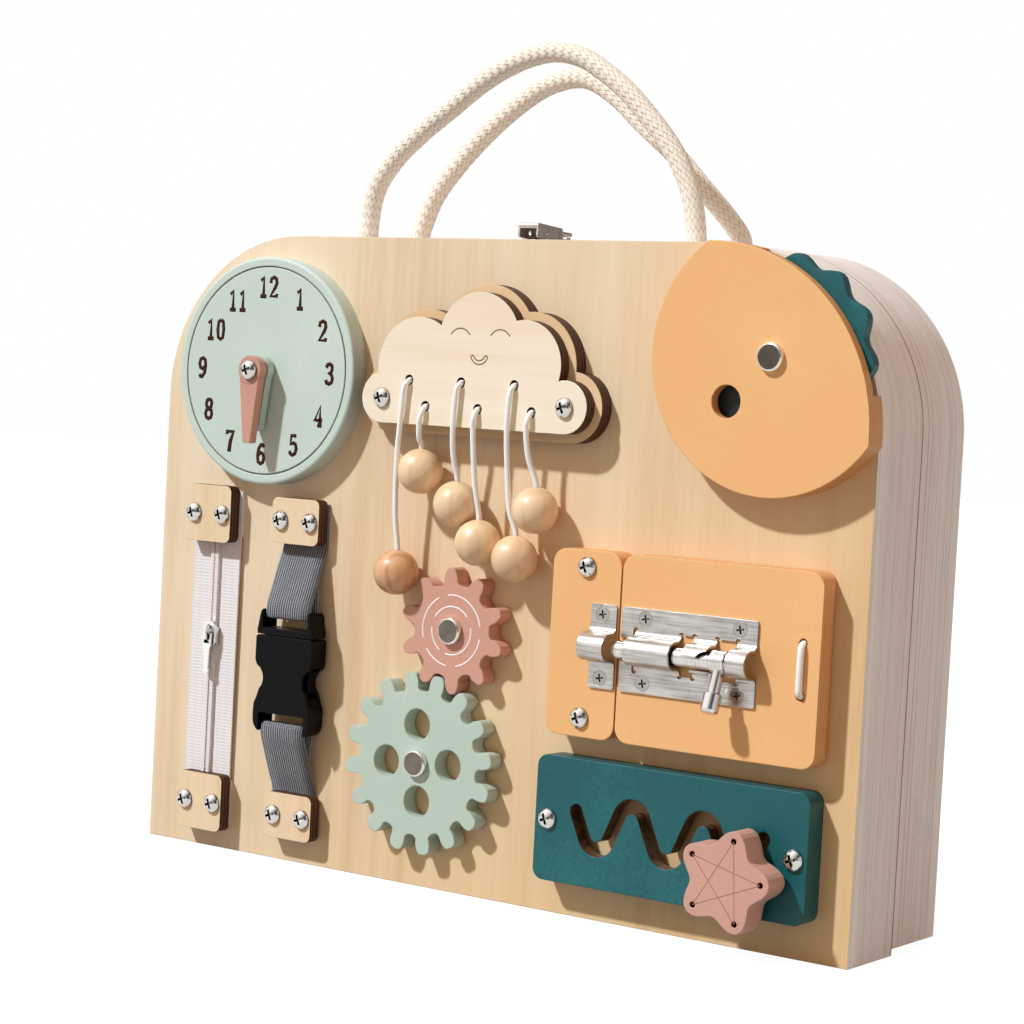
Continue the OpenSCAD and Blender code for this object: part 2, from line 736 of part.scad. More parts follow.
module cloud_back() {
    color(birch) difference() {
        raised(0, cloud_back_t) cloud_outline(cloud_step);
        raised(cloud_back_t - 3.2, 4) translate([upper_holes[0][0] - 2.6, lower_holes[0][1] - 2.6])
            square([lower_holes[2][0] - upper_holes[0][0] + 5.2,
                upper_holes[0][1] - lower_holes[0][1] + 5.2]);
        face_holes(-1, cloud_back_t + 1);
    }
}

module cloud_front() {
    color(birch) difference() {
        raised(cloud_back_t, cloud_front_t) cloud_outline(0);
        for (at = concat(upper_holes, lower_holes)) peg(at, string_hole_r, cloud_back_t - 1, cloud_h + 1);
        face_holes(cloud_back_t - 1, cloud_h + 1);
    }
}

// Rest places of the balls' centres in X and Z, from left to right.
balls = [[-30.8, 110.5], [-22.4, 146.5], [-6.3, 136.2], [3.8, 123.6], [19.5, 119.4], [26.9, 136.3]];
ball_r = ball_d / 2;

module ball(i) {
    color(birch) translate([balls[i][0], face_y - ball_y, balls[i][1]]) difference() {
        sphere(ball_r);
        translate([0, 0, -ball_r - 1]) cylinder(ball_d + 2, r = ball_bore_r);
    }
}

module ball_1() { ball(0); }
module ball_2() { ball(1); }
module ball_3() { ball(2); }
module ball_4() { ball(3); }
module ball_5() { ball(4); }
module ball_6() { ball(5); }

// A point in front of the face.
function out(x, h, z) = [x, face_y - h, z];

// Bends of the strings on their way up, [x, z]: two of them pass beside another ball.
bends = [[[-31.8, 132], [-31.9, 150]], [[-21.8, 158]], [[-6, 155]], [[3, 145]], [[17.6, 136], [17.2,
    150]], [[25.6, 156]]];

// The run of a string from a ball's bore up to a hole and back into the cloud.
function string_run(i, hole) = let (b = balls[i], edge = lobe_left[1] - lobe_left[2])
    concat([out(b[0], ball_y, b[1] + 2), out(b[0], ball_y, b[1] + ball_r + 1)],
    [for (p = bends[i]) out(p[0], ball_y + (p[1] - b[1]) / (edge - b[1]) * (cloud_h + 1.5 - ball_y),
        p[1])],
    [out(hole[0], cloud_h + 1.6, edge + 0.6), out(hole[0], cloud_h + 1.7, hole[1] - 3.4),
    out(hole[0], cloud_h + 1, hole[1] - 0.9), out(hole[0], cloud_h - 0.8, hole[1]),
    out(hole[0], cloud_back_t + 0.6, hole[1]), out(hole[0], cloud_back_t - 1.1, hole[1])]);

function reversed(list) = [for (i = [len(list) - 1:-1:0]) list[i]];

// One string ties two balls: up through the upper hole, down through the lower one.
module string(i, ball_up, ball_low) {
    color(cotton) tube(concat(string_run(ball_up, upper_holes[i]),
        reversed(string_run(ball_low, lower_holes[i]))), string_d / 2, 8, [1, 0, 0]);
}

module string_left() { string(0, 0, 1); }
module string_middle() { string(1, 2, 3); }
module string_right() { string(2, 4, 5); }

// --- picture wheel -----------------------------------------------------------

wheel_room = 1.8;
wheel_h = (spacer_t - wheel_t) / 2;
spacer_open = [-17, 86];

// The part of the case's outline, moved out by the overhang, that the unit covers.
module disc_outline() {
    intersection() {
        translate([disc_x, disc_z]) circle(cover_r);
        translate([cover_over, 0]) case_outline(0, 0);
    }
}

// A wedge from the wheel's centre between two directions.
module wedge(a0, a1, r) {
    polygon([[0, 0], for (a = [a0:(a1 - a0) / 8:a1 + eps]) r * [cos(a), sin(a)]]);
}

module wheel_spacer() {
    color(orange) difference() {
        raised(0, spacer_t) disc_outline();
        raised(-1, spacer_t + 2) translate([disc_x, disc_z]) circle(wheel_r + wheel_room);
        raised(-1, spacer_t + 2) translate([disc_x, disc_z]) wedge(spacer_open[0], spacer_open[1], 80);
    }
}

module scalloped_wheel() {
    mean = wheel_r - scallop_d / 2;
    color(teal) difference() {
        raised(wheel_h, wheel_t) translate([disc_x, disc_z]) polygon([for (k = [0:scallops * 10 - 1])
            let (a = k * 36 / scallops) (mean + scallop_d / 2 * cos(scallops * a)) * [cos(a - 1.6),
                sin(a - 1.6)]]);
        peg([disc_x, disc_z], axle_r + fit, 0, spacer_t);
    }
}

module wheel_cover() {
    color(orange) difference() {
        raised(spacer_t, cover_t) disc_outline();
        peg([disc_x, disc_z], axle_r + seat, spacer_t - 1, spacer_t + cover_t + 1);
        peg([disc_x - 15.8, disc_z - 14.8], window_r, spacer_t - 1, spacer_t + cover_t + 1);
    }
}

// --- gears -------------------------------------------------------------------

pressure = 20;
small_pitch = gear_gap * small_teeth / (small_teeth + large_teeth);
large_pitch = gear_gap * large_teeth / (small_teeth + large_teeth);
large_at = [gear_x - gear_gap * cos(mesh_angle), gear_z - gear_gap * sin(mesh_angle)];
gear_front = gear_lift + gear_t;
axle_spots = [[disc_x, disc_z], [gear_x, gear_z], large_at];

// Angle, in degrees, that an involute has turned through at radius r.
function involute(r, base) = let (q = max(1, r / base)) sqrt(q * q - 1) * 180 / PI - acos(1 / q);

// Half the angle that a tooth takes up at radius r.
function half_tooth(r, pitch, teeth) = 90 / teeth - backlash / 4 / pitch * 180 / PI
    + involute(pitch, pitch * cos(pressure)) - involute(r, pitch * cos(pressure));

// Outline of a gear with involute flanks, eased tips and round roots.
module gear_outline(teeth, pitch, add, ded) {
    flank = [for (k = [0:4]) pitch - ded + 1.2 + k * (ded + add - 1.9) / 4];
    tip = pitch + add;
    side = concat([[pitch - ded, 180 / teeth * 0.93], [pitch - ded + 0.35, half_tooth(pitch - ded, pitch,
        teeth) + 3.2 * 16 / pitch]],
        [for (r = flank) [r, half_tooth(r, pitch, teeth)]], [[tip - 0.15, half_tooth(tip, pitch, teeth)
            * 0.72],
        [tip, half_tooth(tip, pitch, teeth) * 0.3]]);
    polygon([for (k = [0:teeth - 1], s = [-1, 1], i = [0:len(side) - 1])
        let (p = side[s < 0 ? i : len(side) - 1 - i], a = 360 * k / teeth + s * p[1]) p[0] * [cos(a),
            sin(a)]]);
}

module small_gear() {
    color(pink) difference() {
        raised(gear_lift, gear_t) translate([gear_x, gear_z]) rotate(mesh_angle + 180 + 180 / small_teeth)
            gear_outline(small_teeth, small_pitch, small_add, small_ded);
        peg([gear_x, gear_z], axle_r + fit, 0, gear_front + 1);
    }
}

module large_gear() {
    color(mint) difference() {
        raised(gear_lift, gear_t) translate(large_at) rotate(mesh_angle)
            gear_outline(large_teeth, large_pitch, large_add, large_ded);
        for (a = [3:90:273]) peg(large_at + gear_hole_at * [cos(a), sin(a)], gear_hole_r, 0,
            gear_front + 1);
        peg(large_at, axle_r + fit, 0, gear_front + 1);
    }
}

// An axle with a round cap at height h and a washer of thickness t against the face.
module axle(at, h, t) {
    peg(at, axle_r, 0.5 - face_t, h + eps);
    turned([at[0], at[1], h]) polygon([[0, 0], [cap_r, 0], [cap_r, cap_t - 0.7], [cap_r - 0.2,
        cap_t - 0.2],
        [cap_r - 0.7, cap_t], [0, cap_t]]);
    raised(0, t) translate(at) difference() { circle(axle_r + 2.5); circle(axle_r - eps); }
}

module axle_rivets() {
    color(steel) {
        axle(axle_spots[0], spacer_t + cover_t, wheel_h - 0.1);
        for (i = [1, 2]) axle(axle_spots[i], gear_front + 0.2, gear_lift - 0.1);
    }
}

// --- door and barrel bolt ------------------------------------------------------

door_x = block_x + block_w + door_gap;
door_mid = door_z + door_h / 2;
door_cord_x = door_x + door_w - door_cord_in;
door_cord_hole_r = door_cord_d / 2 + 0.5;
door_edge_r = 2;
door_axis_x = door_x + door_w - door_edge_r;
bolt_h = door_t + bolt_out;
keeper_x = block_x + block_w - keeper_w - 0.6;
bolt_plate_x = door_x + 1;
bolt_tip_x = door_x + 0.4;
knob_at = 40.5;
knob_x = bolt_plate_x + knob_at;
collar_w = 5.2;
foot_r = 2;
foot_z = barrel_r + bolt_sheet + foot_r;
flat_screw_at = 10.6;
keeper_screw_x = keeper_x + 4.6;
bolt_screw_x = [bolt_plate_x + 9.2, bolt_plate_x + 45];
flat_head_h = door_t + bolt_sheet;
flat_screw_len = door_t - 2;
// Stretches of the bolt's plate that are rolled into barrels, from its left edge.
barrels = [[5.7, knob_at - bolt_travel - 2.5], [knob_at + 4, bolt_plate_w]];
hook = [knob_at - bolt_travel + 2.5, knob_at - 3.7];

module door_block() {
    color(orange) difference() {
        raised(0, door_t) translate([block_x, door_z]) rounded([block_w, door_h], door_r);
        face_holes(-1, door_t + 1);
        for (s = [-1, 1]) flat_bore([keeper_screw_x, bolt_z + s * flat_screw_at], flat_head_h,
            flat_screw_len);
    }
}

// Seen from above: the door's back right edge is round about the axis that it swings on.
module door_plan() {
    difference() {
        translate([door_x - 1, face_y - door_t - 1]) square([door_w + 2, door_t + 2]);
        translate([door_axis_x, face_y - door_lift - door_edge_r]) difference() {
            square(2 * door_edge_r);
            circle(door_edge_r);
        }
    }
}

module door_panel() {
    color(orange) difference() {
        intersection() {
            raised(door_lift, door_t - door_lift) translate([door_x, door_z]) rounded([door_w, door_h],
                door_r);
            translate([0, 0, door_z - 1]) linear_extrude(door_h + 2) door_plan();
        }
        for (s = [-1, 1]) peg([door_cord_x, door_mid + s * door_cord_gap / 2], door_cord_hole_r, 0,
            door_t + 1);
        for (x = bolt_screw_x, s = [-1, 1]) flat_bore([x, bolt_z + s * flat_screw_at], flat_head_h,
            flat_screw_len);
    }
}

// Side view of a barrel's surface at radius r, with feet that sweep out to the plate.
module barrel_side(r, sweep) {
    foot_h = door_t + bolt_sheet + foot_r;
    translate([face_y - bolt_h, bolt_z]) circle(r);
    translate([face_y - bolt_h, bolt_z - r]) square([bolt_h - door_t + 1, 2 * r]);
    for (s = [-1, 1]) difference() {
        translate([face_y - foot_h, s > 0 ? bolt_z : bolt_z - foot_z]) square([foot_h - door_t + 1, foot_z]);
        translate([face_y - foot_h, bolt_z + s * foot_z]) circle(sweep);
    }
}

// A rolled barrel over the bolt, pressed up from the plate, from x0 to x1.
module barrel(x0, x1) {
    difference() {
        along_x(x0, x1) difference() {
            barrel_side(barrel_r + bolt_sheet, foot_r);
            barrel_side(barrel_r, foot_r + bolt_sheet);
        }
        raised(door_t - 5, 5) translate([x0 - 1, bolt_z - 20]) square([x1 - x0 + 2, 40]);
    }
}

// The flat part of a bolt plate, open along the bolt, with its screw holes.
module bolt_flat(x, w, screws) {
    difference() {
        raised(door_t, bolt_sheet) translate([x, bolt_z - bolt_plate_h / 2]) rounded([w, bolt_plate_h],
            0.8);
        raised(door_t - 1, bolt_sheet + 2) translate([x - 1, bolt_z - foot_z]) square([w + 2, 2 * foot_z]);
        for (sx = screws, s = [-1, 1]) flat_bore([sx, bolt_z + s * flat_screw_at], flat_head_h,
            flat_screw_len);
    }
}

module bolt_keeper() {
    color(steel) {
        bolt_flat(keeper_x, keeper_w, [keeper_screw_x]);
        barrel(keeper_x, keeper_x + keeper_w);
    }
}

module bolt_plate() {
    outer = barrel_r + bolt_sheet;
    color(steel) {
        difference() {
            bolt_flat(bolt_plate_x, bolt_plate_w, bolt_screw_x);
            // Relief holes at the corners of the barrels.
            for (x = [barrels[0][0], barrels[0][1], hook[0], hook[1], barrels[1][0]], s = [-1, 1])
                peg([bolt_plate_x + x, bolt_z + s * foot_z], 0.9, door_t - 1, door_t + 2);
        }
        // The strips of the plate beside the bolt, from its left edge to the first barrel.
        for (s = [-1, 1]) raised(door_t, bolt_sheet) translate([bolt_plate_x, bolt_z
            + (s > 0 ? barrel_r : -foot_z - eps)]) square([barrels[0][0] - 1, foot_z - barrel_r + eps]);
        for (b = barrels) barrel(bolt_plate_x + b[0], bolt_plate_x + b[1]);
        // The hook: open below, so that the knob can pass, and rounded off at its free corner.
        difference() {
            barrel(bolt_plate_x + hook[0], bolt_plate_x + hook[1]);
            raised(door_t + 3.2, 20) translate([bolt_plate_x + hook[0] - 1, bolt_z - outer - 1])
                square([hook[1] - hook[0] + 2, outer + 1.8]);
            raised(door_t + 3.2, 20) translate([bolt_plate_x + hook[1], bolt_z - 0.4]) circle(3.6);
            raised(door_t + 1.4, 20) translate([bolt_plate_x + hook[1], bolt_z - outer - 1.4]) circle(2.6);
        }
    }
}

module bolt_rod() {
    tip = 1.6;
    color(steel) translate([bolt_tip_x, face_y - bolt_h, bolt_z]) rotate([0, 90, 0]) rotate_extrude()
        polygon([[0, 0], [bolt_r - tip, 0], [bolt_r - 0.4, 0.8], [bolt_r, tip + 0.6], [bolt_r,
            bolt_len - 0.5],
            [bolt_r - 0.5, bolt_len], [0, bolt_len]]);
}

// The knob: a collar round the bolt, a stem, and a thicker grip at its end.
module bolt_knob() {
    grip = 6.5;
    color(steel) translate([knob_x, face_y - bolt_h, bolt_z]) rotate([-knob_tilt, 0, 0]) difference() {
        union() {
            translate([-collar_w / 2, 0, 0]) rotate([0, 90, 0]) cylinder(collar_w, r = barrel_r - 0.25);
            translate([0, 0, grip - knob_len - eps]) cylinder(knob_len - grip, r = 2);
            rotate([180, 0, 0]) rotate_extrude() polygon([[0, knob_len - grip], [2.6, knob_len - grip],
                [3, knob_len - grip + 0.4], [3, knob_len - 0.8], [2.4, knob_len], [0, knob_len]]);
        }
        translate([-collar_w, 0, 0]) rotate([0, 90, 0]) cylinder(2 * collar_w, r = bolt_r + fit);
    }
}

module keeper_screws() {
    color(steel) for (s = [-1, 1]) flat_screw([keeper_screw_x, bolt_z + s * flat_screw_at], flat_head_h,
        flat_screw_len);
}

module bolt_screws() {
    color(steel) for (x = bolt_screw_x, s = [-1, 1]) flat_screw([x, bolt_z + s * flat_screw_at],
        flat_head_h, flat_screw_len);
}

// The cord that hinges the door: one stretch in front and a leg through each hole.
module door_cord() {
    bend = 2;
    front = door_t + door_cord_d / 2 + 0.2;
    half = door_cord_gap / 2;
    low = [for (a = [0:15:90]) [front - bend + bend * sin(a), -half + bend - bend * cos(a)]];
    side = concat([[-face_t, -half]], low);
    path = concat(side, [for (i = [len(side) - 1:-1:0]) [side[i][0], -side[i][1]]]);
    color(cotton) translate([door_cord_x, 0, door_mid])
        tube([for (p = path) out(0, p[0], p[1])], door_cord_d / 2, 16, [1, 0, 0]);
}

// --- wave plate and star ---------------------------------------------------------

trough_x = wave_x + 24.8;
low_arc = slot_low + slot_r;
high_arc = slot_high - slot_r;
flank_angle = let (dx = slot_pitch / 2, dz = high_arc - low_arc, d = norm([dx, dz]))
    atan2(dz, dx) + asin(2 * slot_r / d);
slot_play = slot_w / 2 - star_screw_r - 0.06;
slot_back = sqrt(pow(slot_r + slot_play, 2) - pow(slot_r - slot_play, 2)) - 0.15;
star_at = [trough_x + 2 * slot_pitch + slot_r * sin(flank_angle) + (slot_w / 2 - star_screw_r - 0.06)
    * -sin(flank_angle)
    - slot_back * cos(flank_angle), low_arc - slot_r * cos(flank_angle)
    + (slot_w / 2 - star_screw_r - 0.06) * cos(flank_angle) - slot_back * sin(flank_angle)];
star_dir = [cos(flank_angle), sin(flank_angle)];
channel_w = slot_w + 6.4;
channel_t = 3.4;

// A band of width w round a bend: dir is 1 for a trough and -1 for a crest.
module bend_band(at, dir, w) {
    translate(at) scale([1, dir]) intersection() {
        difference() {
            circle(slot_r + w / 2);
            if (slot_r > w / 2) circle(slot_r - w / 2);
        }
        polygon([[0, 0], for (a = [-90 - flank_angle:flank_angle / 6:-90 + flank_angle + eps])
            3 * slot_r * [cos(a), sin(a)]]);
    }
}

// A straight band of width w between two points, with round ends.
module straight_band(a, b, w) {
    d = b - a;
    translate(a) rotate(atan2(d[1], d[0])) translate([0, -w / 2]) square([norm(d), w]);
    for (p = [a, b]) translate(p) circle(w / 2);
}

// The wavy path at width w: troughs, crests, flanks and the two ends.
module wave_path(w) {
    lift = slot_r * [sin(flank_angle), -cos(flank_angle)];
    lows = [for (i = [0:2]) [trough_x + i * slot_pitch, low_arc]];
    highs = [for (i = [0:1]) [trough_x + (i + 0.5) * slot_pitch, high_arc]];
    for (p = lows) bend_band(p, 1, w);
    for (p = highs) bend_band(p, -1, w);
    for (i = [0:1]) {
        straight_band(lows[i] + lift, highs[i] - lift, w);
        straight_band(highs[i] + [lift[0], -lift[1]], lows[i + 1] + [-lift[0], lift[1]], w);
    }
    straight_band(lows[0] + [-lift[0], lift[1]], lows[0] + [-lift[0], lift[1]] + 9.5 * [-star_dir[0],
        star_dir[1]], w);
    straight_band(lows[2] + lift, lows[2] + lift + (star_travel - slot_back + 0.7) * star_dir, w);
}

module wave_plate() {
    color(teal) difference() {
        raised(0, wave_t) translate([wave_x, wave_z]) rounded([wave_w, wave_h], 4);
        raised(channel_t - eps, wave_t) wave_path(slot_w);
        raised(-1, channel_t + 1) wave_path(channel_w);
        face_holes(-1, wave_t + 1);
    }
}

star_gap = screw_head_h + 0.4;
star_h = wave_t + star_gap;

module star_knob() {
    mean = (star_tip + star_hollow) / 2;
    amp = (star_tip - star_hollow) / 2;
    color(pink) difference() {
        raised(star_h, star_t) translate(star_at) polygon([for (a = [0:5:355])
            (mean + amp * cos(5 * a)) * [cos(a + 76), sin(a + 76)]]);
        peg(star_at, star_screw_r + fit, star_h - 1, star_h + star_t - 2.4);
        for (k = [0:4]) peg(star_at + 13.7 * [cos(76 + 72 * k), sin(76 + 72 * k)], 1, star_h + star_t - 3,
            star_h + star_t + 1);
    }
}

// The star's screw: its shank runs in the slot and its flange in the channel behind it.
module star_screw() {
    color(steel) {
        peg(star_at, star_screw_r, 0.7, star_h + star_t - 2.8);
        peg(star_at, star_screw_r + 2.2, 0.7, channel_t - 0.4);
        peg(star_at, star_screw_r + 1.7, wave_t + 0.1, star_h - 0.05);
    }
}

// --- zip -------------------------------------------------------------------------

tape_lift = 1;
tape_t = 0.6;
slit_w = 0.8;
coil_w = 1.5;
coil_t = 1.3;
zip_clamp_at = [[zip_x - 1, 124.7], [zip_x + 1, 17.4]];
zip_clamp_size = [21.8, 21];
strap_clamp_size = [22, 16.6];
male_low = 83.2;
male_top = 92.6;
strap_clamp_at = [[strap_x - 1.2, male_top + buckle_travel + 1.7 + strap_clamp_size[1] / 2],
    [strap_x + 1.8, 17.3]];
slider_w = 6.4;
slider_len = 9;
coil_h = tape_lift + tape_t;

// Round-headed screws of the front face: [x, z, height of the head's seat].
clamp_h = strap_t + clamp_t;
zip_clamp_h = tape_lift + tape_t + clamp_t;
face_screws = concat(
    [for (x = [lobe_left[0], lobe_right[0]]) [x, lobe_left[1], cloud_h]],
    [for (z = [door_z + 6.5, door_z + door_h - 5.6]) [block_x + block_w / 2, z, door_t]],
    [for (x = [wave_x + 5, wave_x + wave_w - 5]) [x, wave_z + wave_h / 2 - 0.4, wave_t]],
    [for (at = zip_clamp_at, s = [-1, 1]) [at[0] + s * clamp_pitch / 2, at[1], zip_clamp_h]],
    [for (at = strap_clamp_at, s = [-1, 1]) [at[0] + s * clamp_pitch / 2, at[1], clamp_h]]);

// Two wooden blocks with round corners, each held by two screws.
module clamps(spots, size, h0, t) {
    difference() {
        raised(h0, t) for (at = spots) translate(at - size / 2) rounded(size, 2.5);
        face_holes(h0 - 1, h0 + t + 1);
    }
}

// The zip's blocks are cut away behind for the tape.
module zip_clamps() { color(birch) clamps(zip_clamp_at, zip_clamp_size, coil_h, clamp_t); }

module zip_tapes() {
    top = zip_clamp_at[0][1] + zip_clamp_size[1] / 2 - 2;
    low = zip_clamp_at[1][1] - zip_clamp_size[1] / 2 + 2;
    color(cotton) difference() {
        union() {
            for (s = [-1, 1]) raised(tape_lift, tape_t)
                translate([s > 0 ? zip_x + slit_w / 2 : zip_x - zip_w / 2, low])
                square([(zip_w - slit_w) / 2, top - low]);
            for (s = [-1, 1]) raised(coil_h - eps, coil_t) translate([zip_x + s * (slit_w + coil_w)
                / 2 - coil_w / 2,
                low + zip_clamp_size[1] - 2]) square([coil_w, top - low - 2 * zip_clamp_size[1] + 4]);
            for (at = zip_clamp_at) raised(0, coil_h) translate([zip_x - zip_w / 2,
                at[1] - zip_clamp_size[1] / 2 + 2])
                square([zip_w, zip_clamp_size[1] - 4]);
        }
        face_holes(-1, coil_h + 1);
    }
}

// The slider: a front plate and a back plate that a neck joins through the slit.
module zip_slider() {
    gap = 0.25;
    front_h = coil_h + coil_t + gap;
    color(steel) {
        raised(front_h, 1.1) translate([zip_x, slider_z]) slider_outline();
        for (s = [-1, 1]) raised(coil_h + gap, front_h - coil_h - gap + eps)
            translate([zip_x + s * (slider_w / 2 - 0.35),
            slider_z - 1]) square([0.7, slider_len - 2.4], center = true);
        raised(0.2, tape_lift - 0.2 - gap) translate([zip_x, slider_z]) slider_outline();
        raised(0.3, front_h) translate([zip_x, slider_z + slider_len / 2 - 2]) square([slit_w - 0.3, 3],
            center = true);
        // The bail that the pull hangs from.
        for (z = [-1.8, 2.2]) raised(front_h, 3) translate([zip_x, slider_z + z]) square([1.6, 1],
            center = true);
        raised(front_h + 2.9, 0.9) translate([zip_x, slider_z + 0.2]) square([1.6, 5], center = true);
    }
}

module slider_outline() {
    polygon([[-slider_w / 2, -slider_len / 2 + 1.2], [-slider_w / 2 + 1, -slider_len / 2],
        [slider_w / 2 - 1, -slider_len / 2], [slider_w / 2, -slider_len / 2 + 1.2], [slider_w / 2,
            slider_len / 2 - 2],
        [slider_w / 2 - 1.8, slider_len / 2], [-slider_w / 2 + 1.8, slider_len / 2], [-slider_w / 2,
            slider_len / 2 - 2]]);
}

pull_h = coil_h + coil_t + 0.25 + 1.1 + 0.2;
pull_t = 0.9;
pull_len = 15;
pull_z = slider_z - 0.2;

// The pull: a round bar inside the bail and a tongue that hangs from it.
module zip_pull() {
    color(steel) {
        raised(pull_h, pull_t) translate([zip_x, pull_z]) difference() {
            union() {
                polygon([[-2.2, 0], [2.2, 0], [2, -4.4], [1.5, -5.4], [1, 1.4 - pull_len],
                    [-1, 1.4 - pull_len], [-1.5, -5.4], [-2, -4.4]]);
                translate([0, 1.4 - pull_len]) circle(1.4);
            }
            translate([-1.3, -3.6]) square([2.6, 5]);
        }
        translate([zip_x - 2.2, face_y - pull_h - pull_t / 2, pull_z]) rotate([0, 90, 0]) cylinder(4.4,
            r = pull_t / 2);
    }
}

// --- strap and buckle --------------------------------------------------------------

module strap_clamps() { color(birch) clamps(strap_clamp_at, strap_clamp_size, strap_t, clamp_t); }

female_top = 82.8;
female_low = 47.2;
window_z = [61.5, 72.5];
bar_z = [90.2, 92.2];
low_bar_z = [48, 50];
bar_h = [buckle_lift + 2.4, buckle_lift + 5.4];
web_play = 0.2;

// Side view of the webbing that leaves a clamp at z0 and loops round a bar.
// up is 1 where the clamp is above the bar and -1 where it is below it.
module web_profile(z_clamp, z_end, bar, up) {
    front = bar_h[1] + web_play + strap_t;
    back = bar_h[0] - web_play - strap_t;
    near = up > 0 ? bar[0] - web_play : bar[1] + web_play;
    far = up > 0 ? bar[1] + web_play : bar[0] - web_play;
    low = near - up * strap_t;
    turn = far + up * 1.5;
    join = [far + up * 8, far + up * 10];
    join_h = [for (z = join) (front - strap_t) * (z_end - z) / (z_end - turn)];
    pts = [[0, z_clamp], [0, z_end], [join_h[1], join[1]], [back, far + up], [back, low], [front, low],
        [front, turn], [strap_t, z_end], [strap_t, z_clamp]];
    eye = [[back + strap_t, near], [front - strap_t, near], [front - strap_t, turn], [join_h[0], join[0]],
        [back + strap_t, far + up * 0.5]];
    difference() {
        polygon([for (p = pts) [face_y - p[0], p[1]]]);
        polygon([for (p = eye) [face_y - p[0], p[1]]]);
    }
}

module strap_upper() {
    at = strap_clamp_at[0];
    color(webbing) difference() {
        along_x(strap_x - strap_w / 2, strap_x + strap_w / 2)
            web_profile(at[1] + strap_clamp_size[1] / 2 - 1.5, at[1] - strap_clamp_size[1] / 2 - 0.5,
                bar_z, 1);
        face_holes(-1, strap_t + 1);
    }
}

module strap_lower() {
    at = strap_clamp_at[1];
    color(webbing) difference() {
        along_x(strap_x - strap_w / 2, strap_x + strap_w / 2)
            web_profile(at[1] - strap_clamp_size[1] / 2 + 1.5, at[1] + strap_clamp_size[1] / 2 + 0.5,
                low_bar_z, -1);
        face_holes(-1, strap_t + 1);
    }
}

half_w = buckle_w / 2;
cavity_w = buckle_w - 4;
cavity_t = 4.4;
cavity_h = buckle_lift + (buckle_t - cavity_t) / 2;
loop_w = strap_w + 1.2;

// An outline from its right side, from end to end, and the same turned over to the left.
module both_sides(side) {
    polygon(concat(side, reversed([for (p = side) [-p[0], p[1]]])));
}

// The female half: a hollow body with side windows, and a loop for the webbing below it.
module buckle_female() {
    color(black) difference() {
        raised(buckle_lift, buckle_t) translate([strap_x, 0]) both_sides(concat([[half_w - 0.8, female_top],
            [half_w, female_top - 0.8], [half_w, window_z[1] + 1.2], [half_w - 0.5, window_z[1]],
            [half_w - 1.6, window_z[1] - 1.8], [half_w - 2.5, window_z[1] - 4],
            [half_w - 2.7, window_z[0] + 4.6], [half_w - 2.3, window_z[0] + 1.6],
            [half_w - 1.3, window_z[0] - 1.4], [half_w - 0.3, window_z[0] - 3.4],
            [half_w, window_z[0] - 5.2]], [for (a = [0:-15:-90]) [half_w - 5 + 5 * cos(a),
                female_low + 5 + 5 * sin(a)]]));
        // The cavity for the prongs and the windows at its sides.
        raised(cavity_h, cavity_t) translate([strap_x - cavity_w / 2, 57.2]) square([cavity_w, 40]);
        raised(cavity_h, cavity_t) translate([strap_x - buckle_w, window_z[0]])
            square([2 * buckle_w, window_z[1] - window_z[0]]);
        for (s = [-1, 1]) raised(buckle_lift - 1, buckle_t + 2) translate([strap_x + s * (half_w + 1.2),
            67]) circle(5.2);
        // The loop: an opening above the bar, and the bar thinned for the webbing.
        raised(buckle_lift - 1, buckle_t + 2) translate([strap_x - loop_w / 2, low_bar_z[1]])
            square([loop_w, 4.6]);
        raised(bar_h[1], 9) translate([strap_x - loop_w / 2, female_low - 1]) square([loop_w, 5]);
        raised(buckle_lift - 1, bar_h[0] - buckle_lift + 1) translate([strap_x - loop_w / 2,
            female_low - 1])
            square([loop_w, 5]);
        raised(buckle_lift - 1, buckle_t + 2) translate([strap_x - loop_w / 2, female_low - 1])
            square([loop_w, low_bar_z[0] - female_low + 1]);
    }
}

prong_t = 3.6;
prong_h = buckle_lift + (buckle_t - prong_t) / 2;
prong_tip = 61.8;
prong_root = male_low + 0.8;
prong_x = cavity_w / 2 - 2.2;
prong_pivot_r = 1;

// The male half: a frame for the webbing, with a flat tongue that guides it.
module buckle_male() {
    top_w = half_w - 2.4;
    color(black) difference() {
        union() {
            raised(buckle_lift, buckle_t) translate([strap_x, 0]) both_sides([[half_w - 0.4, male_low],
                [half_w - 0.4, male_low + 1.6], [top_w + 1, male_top - 2.6], [top_w + 0.6, male_top - 1.2],
                [top_w - 0.2, male_top - 0.3], [top_w - 1.2, male_top]]);
            raised(prong_h, prong_t) translate([strap_x - 3.4, prong_tip + 4]) square([6.8,
                male_low - prong_tip - 3]);
        }
        raised(buckle_lift - 1, buckle_t + 2) translate([strap_x - loop_w / 2, male_low + 2.4])
            square([loop_w, bar_z[0] - male_low - 2.4]);
        raised(bar_h[1], 9) translate([strap_x - loop_w / 2, bar_z[0] - 1]) square([loop_w, 9]);
        raised(buckle_lift - 1, bar_h[0] - buckle_lift + 1) translate([strap_x - loop_w / 2, bar_z[0] - 1])
            square([loop_w, 9]);
        raised(buckle_lift - 1, buckle_t + 2) translate([strap_x - loop_w / 2, bar_z[1]]) square([loop_w,
            9]);
        for (s = [-1, 1]) {
            raised(prong_h - fit, prong_t + 2 * fit) translate([strap_x + s * prong_x - 2.4, male_low - 1])
                square([4.8, prong_root + 3.2 - male_low]);
        }
    }
    color(black) for (s = [-1, 1]) peg([strap_x + s * prong_x, prong_root], prong_pivot_r, prong_h - 0.5,
        prong_h + prong_t + 0.5);
}

